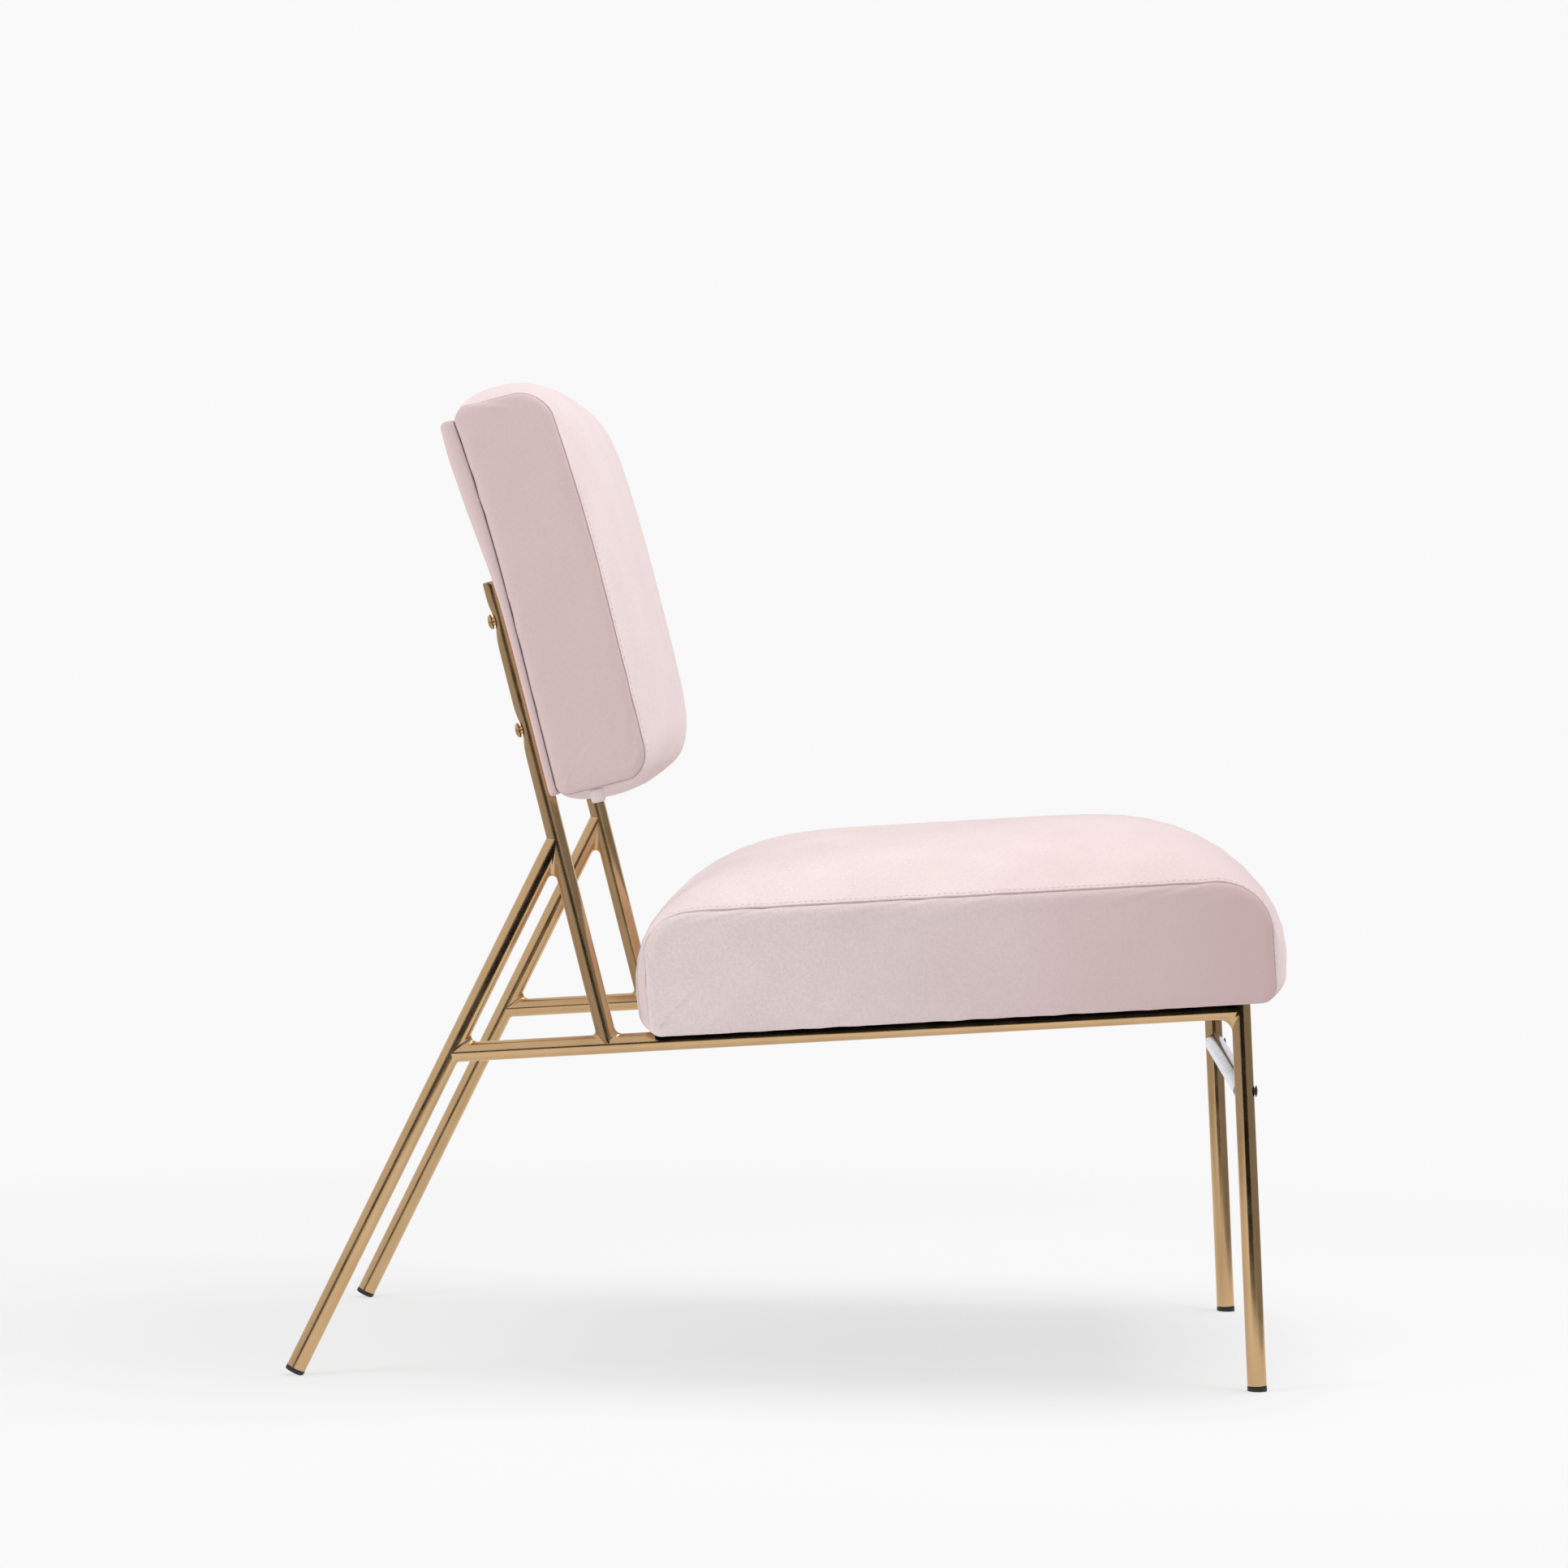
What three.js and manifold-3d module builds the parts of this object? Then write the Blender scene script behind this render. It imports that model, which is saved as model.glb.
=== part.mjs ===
// An armless lounge chair, in millimetres. Two welded side frames of brass-plated steel tube carry an
// upholstered seat and backrest, and a bolted spreader ties the front legs together.
// The chair faces -Y, X runs across it (the sitter's right is -X), and the floor is Z = 0.
import * as THREE from 'three';
import { mergeVertices } from 'three/addons/utils/BufferGeometryUtils.js';
import Module from 'manifold-3d';

const wasm = await Module();
wasm.setup();

// ---------------------------------------------------------------- driving dimensions

const GAP = 0.3; // clearance between neighbouring pieces
const TUBE_RADIUS = 8;
const TUBE_WALL = 1.5;
const TUBE_SIDES = 16;
const HARDWARE_SIDES = 12;
const HOLE_SIDES = 10;
const FRAME_HALF_WIDTH = 247; // chair's centre to a side frame's tube axes
const SIDES = { right: -1, left: 1 }; // the sitter's right is -X
const CUTTER_REACH = 60; // how far a cutter runs past the place it cuts
const DRILL_REACH = 15; // of a drilling from a tube's axis, out through one wall
const ROOMY = 2000; // side of a box that reaches past everything

// Side frame centre lines: distance forward of the rear feet, height, and angle up from level,
// measured from the front
const REAR_FEET_BACK = 411.5; // the rear feet's axis behind the chair's centre
const REAR_LEG = { forward: 0.7, height: 0, angle: 64.35 };
const RAIL = { forward: 0, height: 260.4, angle: 4 };
const UPRIGHT = { forward: 254.7, height: 300, angle: 104.8 };
const FRONT_LEG = { forward: 799.1, height: 0, angle: 93.25 };
const UPRIGHT_LENGTH = 372; // from its 300 mm high point to the top of the cap

const FOOT_THICKNESS = 4; // of the rear foot caps, outside the tube
const FRONT_FOOT_THICKNESS = 5; // before the floor takes off its lowest edge
const FRONT_FOOT_FLAT = 1; // how far below the floor the front caps would reach
const REAR_FOOT_FLAT = 1; // how much the floor takes off the rear caps' low edge
const PLUG_LENGTH = 14; // of a cap's stem, inside the tube
const CAP_THICKNESS = 2; // of the upright caps, outside the tube
const CAP_STEM_RADIUS = TUBE_RADIUS - TUBE_WALL - GAP;

// Weld fillets: the clearance under them, the steps round the branch and across the face, and the
// bead and toe that keep the ring solid where the two tubes are tangent
const WELD_GAP = 0.35;
const WELD_STEPS = 16;
const WELD_ARC_STEPS = 2;
const WELD_BEAD = 0.6;
const WELD_TOE = 1.6;

const SPREADER_RADIUS = 8.7;
const SPREADER_HEIGHT = 247.5;
const SPREADER_SET_BACK = 5.2; // of the spreader's coped ends, from the legs' axes
const DOWEL_NECK_RADIUS = 4; // of the spreader dowel, where it enters the leg
const DOWEL_LENGTH = 22; // inside the spreader
const DOWEL_SET_IN = 2; // of the dowel's shoulder, beyond the leg's surface
const DOWEL_TIP = 5; // how far the neck reaches past the leg's axis
const SPREADER_BOLT_LENGTH = 13;
const SPREADER_BOLT = { shank: 2.5, neck: 3, neckLength: 0.6, head: 4.8, headHeight: 2 };

const M6_BOLT = { shank: 3, neck: 4.2, neckLength: 2, head: 6.5, headHeight: 3.6 };
const M6_CLEARANCE_RADIUS = 3.4;
const T_NUT = { bore: 3.3, barrel: 4.4, barrelLength: 9, flange: 9, flangeThickness: 1.2 };
const BOARD_THICKNESS = 12;

// Seat, in a frame that runs along the rail's axis: forward of the rear feet, and up from the axis
const SEAT_HALF_WIDTH = 285;
const SEAT_END = { rear: 297, front: 811, low: 8.3, high: 107 }; // outline of an end panel
const SEAT_CROWN = { rear: 276, front: 832, low: 8.3, high: 157 }; // outline at the chair's centre
const SEAT_END_CORNERS = { low: [10, 10], rear: [40, 32], front: [42, 42] };
const SEAT_CROWN_CORNERS = { low: [16, 16], rear: [160, 112], front: [154, 116] };
const SEAT_BOARD = { rear: 303, front: 805, halfWidth: 278, corner: 12 };
const SEAT_OPENING = { rear: 322, front: 786, halfWidth: 254, corner: 8 }; // under the seat
const SEAT_SCREWS = [360, 720]; // forward of the rear feet
const TAB = { length: 26, width: 22, thickness: 3, corner: 4, underside: 4.6 }; // above the rail's axis
const SEAT_SCREW_INBOARD = 22; // the screws' distance from the rail's axis, towards the centre
const SEAT_SCREW_LENGTH = 19.5;
const DUST_COVER = { margin: 1, thickness: 1 }; // margin to the opening's edge

// Backrest, in a frame that runs along the upright: up from its 300 mm high point, and forward of
// its axis
const BACK_HALF_WIDTH = 285;
const BACK_END = { low: 186, high: 515, rear: 12.6, front: 91 };
const BACK_CROWN = { low: 175, high: 537, rear: 12.6, front: 113 };
const BACK_END_CORNERS = { rear: [7, 7], high: [24, 24], low: [24, 18] };
const BACK_CROWN_CORNERS = { rear: [9, 9], high: [68, 64], low: [62, 54] };
const BACK_BEND = { from: 345, to: 515, depth: 8.5 }; // the backrest curves rearwards near its top
const BACK_BOARD = { low: 196, high: 503, halfWidth: 274 };
const BACK_OPENING = { low: 204, high: 495, halfWidth: 262 };
const BACK_BOLTS = [247.3, 339.5];
const BACK_BOLT_LENGTH = 37.5; // from the tube's rear face
const PANEL = { low: 188, high: 507, halfWidth: 281 }; // padded panel behind the backrest
const PANEL_PAD = { rear: 1, front: 9.5, corner: 4.5 };
const PANEL_BOARD_THICKNESS = 2.5;
const PANEL_GROOVE_RADIUS = 8.4; // where an upright presses into the pad
const COVER_THICKNESS = 2.5;
const COVER_TAB = { low: 174, width: 12, height: 9.6, thickness: 1.5, forward: 44, outboard: 277 };

// ---------------------------------------------------------------- materials

const brass = new THREE.MeshStandardMaterial({ color: 0xc8a573, metalness: 1, roughness: 0.25 });
const nickel = new THREE.MeshStandardMaterial({ color: 0xd8d6e4, metalness: 1, roughness: 0.2 });
const darkSteel = new THREE.MeshStandardMaterial({ color: 0x4b4a4d, metalness: 1, roughness: 0.35 });
const zinc = new THREE.MeshStandardMaterial({ color: 0xa9adb0, metalness: 1, roughness: 0.4 });
const blackPlastic = new THREE.MeshStandardMaterial({ color: 0x161616, metalness: 0, roughness: 0.5 });
const velvet = new THREE.MeshStandardMaterial({ color: 0xe3cfd0, metalness: 0, roughness: 0.9 });
const foam = new THREE.MeshStandardMaterial({ color: 0xf0e6c4, metalness: 0, roughness: 1 });
const plywood = new THREE.MeshStandardMaterial({ color: 0xc9a878, metalness: 0, roughness: 0.8 });
const hardboard = new THREE.MeshStandardMaterial({ color: 0x7a5636, metalness: 0, roughness: 0.8 });
const blackCloth = new THREE.MeshStandardMaterial({ color: 0x141414, metalness: 0, roughness: 0.95 });

// ---------------------------------------------------------------- solids

function toSolid(geometry) {
  const bare = geometry.clone();
  bare.deleteAttribute('normal');
  bare.deleteAttribute('uv');
  const merged = mergeVertices(bare, 1e-4);
  return new wasm.Manifold(new wasm.Mesh({
    numProp: 3,
    vertProperties: merged.getAttribute('position').array,
    triVerts: Uint32Array.from(merged.index.array),
  }));
}

function toGeometry(solid) {
  const result = solid.getMesh();
  const geometry = new THREE.BufferGeometry();
  geometry.setAttribute('position', new THREE.BufferAttribute(result.vertProperties, 3));
  geometry.setIndex(new THREE.BufferAttribute(result.triVerts, 1));
  geometry.computeVertexNormals();
  return geometry;
}

function cut(geometry, ...cutters) {
  const remaining = cutters.reduce((solid, cutter) => solid.subtract(toSolid(cutter)), toSolid(geometry));
  return toGeometry(remaining);
}

function overlapOf(geometry, other) {
  return toGeometry(toSolid(geometry).intersect(toSolid(other)));
}

// A closed surface over sections that are loops of points, all with the same even count. The
// sections join up into a ring, or the first and last are closed by strips between their two halves.
function skinSections(sections, isRing) {
  const count = sections[0].length;
  const points = sections.flat();
  const faces = [];
  const bands = isRing ? sections.length : sections.length - 1;
  for (let band = 0; band < bands; band += 1) {
    for (let step = 0; step < count; step += 1) {
      const here = band * count;
      const next = ((band + 1) % sections.length) * count;
      const following = (step + 1) % count;
      faces.push(here + step, next + step, next + following);
      faces.push(here + step, next + following, here + following);
    }
  }
  if (!isRing) {
    const last = (sections.length - 1) * count;
    for (let step = 0; step < count / 2 - 1; step += 1) {
      const facing = count - 1 - step;
      faces.push(step, step + 1, facing - 1, step, facing - 1, facing);
      faces.push(last + step, last + facing - 1, last + step + 1);
      faces.push(last + step, last + facing, last + facing - 1);
    }
  }
  if (signedVolume(points, faces) < 0) {
    faces.reverse();
  }
  const geometry = new THREE.BufferGeometry().setFromPoints(points);
  geometry.setIndex(faces);
  geometry.computeVertexNormals();
  return geometry;
}

function signedVolume(points, faces) {
  let volume = 0;
  for (let index = 0; index < faces.length; index += 3) {
    const [a, b, c] = [points[faces[index]], points[faces[index + 1]], points[faces[index + 2]]];
    volume += a.dot(b.clone().cross(c)) / 6;
  }
  return volume;
}

// A turned solid about Y from a profile of [radius, height] points, listed from the low end up
function turned(profile, sides = TUBE_SIDES) {
  const points = profile.map(([radius, height]) => new THREE.Vector2(radius, height));
  return new THREE.LatheGeometry(points, sides);
}

// Moves a solid that was made along Y so that it stands on one point and runs towards another
function aimed(geometry, from, to) {
  const direction = to.clone().sub(from).normalize();
  const turn = new THREE.Quaternion().setFromUnitVectors(new THREE.Vector3(0, 1, 0), direction);
  return geometry.applyQuaternion(turn).translate(from.x, from.y, from.z);
}

function rod(from, to, radius, sides = TUBE_SIDES) {
  const length = from.distanceTo(to);
  const upright = new THREE.CylinderGeometry(radius, radius, length, sides);
  return aimed(upright.translate(0, length / 2, 0), from, to);
}

function pipe(from, to, radius = TUBE_RADIUS) {
  const length = from.distanceTo(to);
  const bore = radius - TUBE_WALL;
  return aimed(turned([[bore, 0], [radius, 0], [radius, length], [bore, length], [bore, 0]]), from, to);
}

// A flat plate with rounded corners. Its outline lies across X and Y, and it is as thick as stated
// from its underside up.
function plate(lowX, highX, lowY, highY, corner, underside, thickness) {
  const shape = new THREE.Shape();
  shape.absarc(highX - corner, highY - corner, corner, 0, Math.PI / 2);
  shape.absarc(lowX + corner, highY - corner, corner, Math.PI / 2, Math.PI);
  shape.absarc(lowX + corner, lowY + corner, corner, Math.PI, Math.PI * 1.5);
  shape.absarc(highX - corner, lowY + corner, corner, Math.PI * 1.5, Math.PI * 2);
  const settings = { depth: thickness, bevelEnabled: false, curveSegments: 3 };
  return new THREE.ExtrudeGeometry(shape, settings).translate(0, 0, underside);
}

function named(name, geometry, material) {
  const mesh = new THREE.Mesh(geometry, material);
  mesh.name = name;
  return mesh;
}

// ---------------------------------------------------------------- side frame layout

function sidePoint(forward, height) {
  return new THREE.Vector3(0, REAR_FEET_BACK - forward, height);
}

function centreLine({ forward, height, angle }) {
  const radians = THREE.MathUtils.degToRad(angle);
  const direction = new THREE.Vector3(0, -Math.cos(radians), Math.sin(radians));
  return { point: sidePoint(forward, height), direction };
}

function meeting(first, second) {
  const between = second.point.clone().sub(first.point);
  const across = first.direction.y * second.direction.z - first.direction.z * second.direction.y;
  const along = (between.y * second.direction.z - between.z * second.direction.y) / across;
  return onLine(first, along);
}

function onLine(line, along) {
  return line.point.clone().addScaledVector(line.direction, along);
}

function atHeight(line, height) {
  return onLine(line, (height - line.point.z) / line.direction.z);
}

const rearLegLine = centreLine(REAR_LEG);
const railLine = centreLine(RAIL);
const uprightLine = centreLine(UPRIGHT);
const frontLegLine = centreLine(FRONT_LEG);

const railAtRearLeg = meeting(railLine, rearLegLine);
const railAtUpright = meeting(railLine, uprightLine);
const railAtFrontLeg = meeting(railLine, frontLegLine);
const fork = meeting(rearLegLine, uprightLine);

const rearLegRake = THREE.MathUtils.degToRad(90 - REAR_LEG.angle);
const rearFootEnd = atHeight(rearLegLine, TUBE_RADIUS * Math.sin(rearLegRake) - REAR_FOOT_FLAT);
const frontFootEnd = atHeight(frontLegLine, -FRONT_FOOT_FLAT);
const rearTubeEnd = rearFootEnd.clone().addScaledVector(rearLegLine.direction, FOOT_THICKNESS);
const frontTubeEnd = frontFootEnd.clone().addScaledVector(frontLegLine.direction, FRONT_FOOT_THICKNESS);
const frontLegTop = railAtFrontLeg.clone().addScaledVector(frontLegLine.direction, TUBE_RADIUS - GAP);
const uprightTop = onLine(uprightLine, UPRIGHT_LENGTH - CAP_THICKNESS);
const spreaderPoint = atHeight(frontLegLine, SPREADER_HEIGHT);

// ---------------------------------------------------------------- side frame pieces

// The cutter that shapes a tube's end to fit against another tube
function copeCutter(line, around) {
  const from = around.clone().addScaledVector(line.direction, -CUTTER_REACH);
  const to = around.clone().addScaledVector(line.direction, CUTTER_REACH);
  return rod(from, to, (TUBE_RADIUS + GAP) / Math.cos(Math.PI / TUBE_SIDES));
}

function rearLeg() {
  return cut(pipe(rearTubeEnd, fork), copeCutter(uprightLine, fork));
}

function sideRail() {
  return cut(pipe(railAtRearLeg, railAtFrontLeg),
    copeCutter(rearLegLine, railAtRearLeg),
    copeCutter(frontLegLine, railAtFrontLeg));
}

function upright() {
  const drillings = BACK_BOLTS.map((along) => {
    const centre = onLine(uprightLine, along);
    const forwards = new THREE.Vector3(0, -uprightLine.direction.z, uprightLine.direction.y);
    const start = centre.clone().addScaledVector(forwards, -DRILL_REACH);
    return rod(start, centre.addScaledVector(forwards, DRILL_REACH), M6_CLEARANCE_RADIUS, HOLE_SIDES);
  });
  return cut(pipe(railAtUpright, uprightTop), copeCutter(railLine, railAtUpright), ...drillings);
}

// The leg has a hole for the spreader's dowel on its inner side and one for the bolt at the front
function frontLeg(inward) {
  const inside = spreaderPoint.clone().add(new THREE.Vector3(inward * DRILL_REACH, 0, 0));
  const ahead = spreaderPoint.clone().add(new THREE.Vector3(0, -DRILL_REACH, 0));
  const dowelHole = rod(spreaderPoint, inside, DOWEL_NECK_RADIUS + GAP, HOLE_SIDES);
  const boltHole = rod(spreaderPoint, ahead, SPREADER_BOLT.shank + GAP, HOLE_SIDES);
  return cut(pipe(frontTubeEnd, frontLegTop), dowelHole, boltHole);
}

// A weld fillet is a ring round the seam where a branch tube butts against a main tube. At each
// angle round the branch a ball touches both tubes, and the fillet's face is the ball's arc between
// the touching points. The ball is wider on the branch's wide side than on the other, and a low toe
// keeps the ring solid where the two tubes are tangent.
function weldFillet(joint, branch, main, wideRadius, narrowRadius, wideSide) {
  const across = new THREE.Vector3(1, 0, 0);
  const sections = [];
  for (let step = 0; step < WELD_STEPS; step += 1) {
    const turn = (2 * Math.PI * step) / WELD_STEPS;
    const outward = wideSide.clone().multiplyScalar(Math.cos(turn)).addScaledVector(across, Math.sin(turn));
    const ball = (wideRadius + narrowRadius + (wideRadius - narrowRadius) * Math.cos(turn)) / 2;
    sections.push(filletSection(outward, ball, branch, main).map((point) => point.add(joint)));
  }
  return skinSections(sections, true);
}

function filletSection(outward, ball, branch, main) {
  const surface = TUBE_RADIUS + WELD_GAP;
  const centre = touchingBoth(outward, TUBE_RADIUS + ball, branch, main);
  const fromMain = awayFrom(main, centre).normalize();
  const corner = touchingBoth(outward, surface, branch, main);
  const onBranch = centre.clone().addScaledVector(outward, surface - TUBE_RADIUS - ball);
  const branchToe = onBranch.addScaledVector(branch, WELD_TOE);
  const turnAway = new THREE.Vector3().crossVectors(main, fromMain).normalize();
  const side = Math.sign(turnAway.dot(branch)) || 1;
  const swing = -side * Math.abs(turnAway.dot(branch)) * WELD_TOE / surface;
  const toeDirection = fromMain.clone().applyAxisAngle(main, swing);
  const alongMain = main.clone().multiplyScalar(centre.dot(main));
  const away = Math.sign(outward.dot(main)) * Math.abs(outward.dot(main)) * WELD_TOE;
  const mainToe = alongMain.addScaledVector(main, away).addScaledVector(toeDirection, surface);
  const arc = [];
  for (let step = 0; step <= WELD_ARC_STEPS; step += 1) {
    const share = step / WELD_ARC_STEPS;
    const inward = outward.clone().lerp(fromMain, share).normalize();
    arc.push(centre.clone().addScaledVector(inward, WELD_BEAD + WELD_GAP - ball));
  }
  return [branchToe, ...arc, mainToe, corner];
}

// The point at one distance from both tubes' axes, on the given side of the branch
function touchingBoth(outward, distance, branch, main) {
  const start = outward.clone().multiplyScalar(distance);
  const startAway = awayFrom(main, start);
  const branchAway = awayFrom(main, branch);
  const slope = startAway.dot(branchAway);
  const shortfall = startAway.lengthSq() - distance * distance;
  const root = Math.sqrt(Math.max(slope * slope - branchAway.lengthSq() * shortfall, 0));
  return start.addScaledVector(branch, (root - slope) / branchAway.lengthSq());
}

function awayFrom(axis, vector) {
  return vector.clone().addScaledVector(axis, -vector.dot(axis));
}

function squareTo(direction) {
  return new THREE.Vector3(0, -direction.z, direction.y);
}

const WELDS = {
  rear_weld: () => weldFillet(railAtRearLeg, railLine.direction, rearLegLine.direction, 5, 3,
    squareTo(railLine.direction).negate()),
  upright_weld: () => weldFillet(railAtUpright, uprightLine.direction, railLine.direction, 7, 3.5,
    squareTo(uprightLine.direction)),
  fork_weld: () => weldFillet(fork, rearLegLine.direction.clone().negate(), uprightLine.direction, 4, 3,
    squareTo(rearLegLine.direction)),
  front_weld: () => cut(weldFillet(railAtFrontLeg, railLine.direction.clone().negate(),
    frontLegLine.direction, 11, 4, squareTo(railLine.direction)), aboveRail()),
};

// The space above the rail's top, where the seat lies and the front weld is ground flush
function aboveRail() {
  const space = new THREE.BoxGeometry(ROOMY, ROOMY, ROOMY).translate(0, 0, TUBE_RADIUS + ROOMY / 2);
  space.rotateX(-THREE.MathUtils.degToRad(RAIL.angle));
  return space.translate(0, railAtFrontLeg.y, railAtFrontLeg.z);
}

// A plug with a head outside the tube's end and a stem inside it
function tubeCap(end, direction, headThickness) {
  const headEnd = end.clone().addScaledVector(direction, headThickness - GAP);
  const stemEnd = end.clone().addScaledVector(direction, headThickness + PLUG_LENGTH);
  const profile = [
    [0, 0], [TUBE_RADIUS, 0], [TUBE_RADIUS, headThickness - GAP], [CAP_STEM_RADIUS, headThickness - GAP],
    [CAP_STEM_RADIUS, stemEnd.distanceTo(end)], [0, stemEnd.distanceTo(end)],
  ];
  return aimed(turned(profile), end, headEnd);
}

// A foot cap, cut off flat where it meets the floor
function footCap(end, line, headThickness) {
  const floor = new THREE.BoxGeometry(ROOMY, ROOMY, ROOMY).translate(0, 0, -ROOMY / 2);
  return cut(tubeCap(end, line.direction, headThickness), floor);
}

function uprightCap() {
  const end = onLine(uprightLine, UPRIGHT_LENGTH);
  return tubeCap(end, uprightLine.direction.clone().negate(), CAP_THICKNESS);
}

function sideFrame(name, side) {
  const frame = new THREE.Group();
  frame.position.x = side * FRAME_HALF_WIDTH;
  frame.add(
    named(`${name}_rear_leg`, rearLeg(), brass),
    named(`${name}_side_rail`, sideRail(), brass),
    named(`${name}_upright`, upright(), brass),
    named(`${name}_front_leg`, frontLeg(-side), brass),
    named(`${name}_rear_foot`, footCap(rearFootEnd, rearLegLine, FOOT_THICKNESS), blackPlastic),
    named(`${name}_front_foot`, footCap(frontFootEnd, frontLegLine, FRONT_FOOT_THICKNESS), blackPlastic),
    named(`${name}_upright_cap`, uprightCap(), brass),
  );
  Object.entries(WELDS).forEach(([weld, make]) => frame.add(named(`${name}_${weld}`, make(), brass)));
  return frame;
}

// ---------------------------------------------------------------- spreader

function spreaderTube() {
  const half = new THREE.Vector3(FRAME_HALF_WIDTH - SPREADER_SET_BACK, 0, 0);
  const tube = pipe(spreaderPoint.clone().sub(half), spreaderPoint.clone().add(half), SPREADER_RADIUS);
  const cutters = [-1, 1].map((side) => {
    const legPoint = spreaderPoint.clone().setX(side * FRAME_HALF_WIDTH);
    return copeCutter(frontLegLine, legPoint);
  });
  return cut(tube, ...cutters);
}

// A plug in the spreader's end whose neck passes into the leg, with a cross hole for the bolt
function spreaderDowel(inward) {
  const shoulder = TUBE_RADIUS + DOWEL_SET_IN;
  const bore = SPREADER_RADIUS - TUBE_WALL - GAP;
  const profile = [
    [0, -DOWEL_TIP], [DOWEL_NECK_RADIUS, -DOWEL_TIP], [DOWEL_NECK_RADIUS, shoulder], [bore, shoulder],
    [bore, shoulder + DOWEL_LENGTH], [0, shoulder + DOWEL_LENGTH],
  ];
  const inside = spreaderPoint.clone().add(new THREE.Vector3(inward, 0, 0));
  const dowel = aimed(turned(profile, HARDWARE_SIDES), spreaderPoint, inside);
  const reach = new THREE.Vector3(0, DRILL_REACH, 0);
  const [front, back] = [spreaderPoint.clone().sub(reach), spreaderPoint.clone().add(reach)];
  return cut(dowel, rod(front, back, SPREADER_BOLT.shank + GAP, HOLE_SIDES));
}

// A dome-headed bolt along Y with its head's underside at zero and its shank towards +Y
function domeBolt(size, length) {
  const dome = [];
  const domeSteps = 3;
  for (let step = 0; step <= domeSteps; step += 1) {
    const angle = (Math.PI / 2) * (1 - step / domeSteps);
    dome.push([size.head * Math.cos(angle), -size.neckLength - size.headHeight * Math.sin(angle)]);
  }
  dome[0][0] = 0;
  const profile = [
    ...dome, [size.neck, -size.neckLength], [size.neck, 0], [size.shank, 0],
    [size.shank, length], [0, length],
  ];
  return turned(profile, HARDWARE_SIDES);
}

function spreader() {
  const group = new THREE.Group();
  group.add(named('front_spreader', spreaderTube(), nickel));
  Object.entries(SIDES).forEach(([name, side]) => {
    const dowel = named(`${name}_spreader_dowel`, spreaderDowel(-side), zinc);
    dowel.position.x = side * FRAME_HALF_WIDTH;
    const bolt = named(`${name}_spreader_bolt`, domeBolt(SPREADER_BOLT, SPREADER_BOLT_LENGTH), darkSteel);
    bolt.position.set(side * FRAME_HALF_WIDTH, spreaderPoint.y - TUBE_RADIUS - GAP, spreaderPoint.z);
    group.add(dowel, bolt);
  });
  return group;
}

// ---------------------------------------------------------------- upholstery

const between = THREE.MathUtils.lerp;

// One loop of points round a padded section, as [a, b] pairs. The corners are quarter ellipses,
// listed anticlockwise from the low a, low b one, each with its radii along a and along b.
const CORNER_STEPS = 4;

function paddedOutline({ lowA, highA, lowB, highB }, corners, edgeSteps = [1, 1, 1, 1]) {
  const centres = [
    [lowA + corners[0][0], lowB + corners[0][1], Math.PI],
    [highA - corners[1][0], lowB + corners[1][1], Math.PI * 1.5],
    [highA - corners[2][0], highB - corners[2][1], 0],
    [lowA + corners[3][0], highB - corners[3][1], Math.PI / 2],
  ];
  const rounds = centres.map(([a, b, start], index) => {
    const [radiusA, radiusB] = corners[index];
    return Array.from({ length: CORNER_STEPS + 1 }, (_, step) => {
      const angle = start + (Math.PI / 2) * (step / CORNER_STEPS);
      return [a + radiusA * Math.cos(angle), b + radiusB * Math.sin(angle)];
    });
  });
  return rounds.flatMap((round, index) => {
    const edge = evenSteps(round.at(-1), rounds[(index + 1) % 4][0], edgeSteps[index]);
    return [...round, ...edge];
  });
}

// The pairs between two ends that divide the way into equal steps, without the ends themselves
function evenSteps([fromA, fromB], [toA, toB], count) {
  return Array.from({ length: count - 1 }, (_, index) => {
    const share = (index + 1) / count;
    return [between(fromA, toA, share), between(fromB, toB, share)];
  });
}

// How far a cushion has swollen at a place across its width, from 0 at an end panel to 1
function swell(across) {
  return (1 - Math.abs(across) ** 2.4) ** 0.75;
}

const BACK_EDGE_STEPS = 6; // along the backrest's rise, so that its pieces follow the bend
const SECTION_PLACES = [-1, -0.96, -0.86, -0.68, -0.4, 0, 0.4, 0.68, 0.86, 0.96, 1];

// A cushion as sections across X. sectionAt gives the outline for a share of swelling, and place
// turns its pairs into a point.
function cushion(halfWidth, inset, sectionAt, place) {
  const sections = SECTION_PLACES.map((across) => {
    const outline = sectionAt(swell(across), inset);
    return outline.map(([a, b]) => place((halfWidth - inset) * across, a, b));
  });
  return skinSections(sections, false);
}

function mixCorner(end, crown, share, inset) {
  return [0, 1].map((index) => Math.max(between(end[index], crown[index], share) - inset, 1));
}

function seatSection(share, inset) {
  const box = {
    lowA: between(SEAT_END.rear, SEAT_CROWN.rear, share) + inset,
    highA: between(SEAT_END.front, SEAT_CROWN.front, share) - inset,
    lowB: SEAT_END.low + inset,
    highB: between(SEAT_END.high, SEAT_CROWN.high, share) - inset,
  };
  const low = mixCorner(SEAT_END_CORNERS.low, SEAT_CROWN_CORNERS.low, share, inset);
  const front = mixCorner(SEAT_END_CORNERS.front, SEAT_CROWN_CORNERS.front, share, inset);
  const rear = mixCorner(SEAT_END_CORNERS.rear, SEAT_CROWN_CORNERS.rear, share, inset);
  return paddedOutline(box, [low, low, front, rear]);
}

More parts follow.
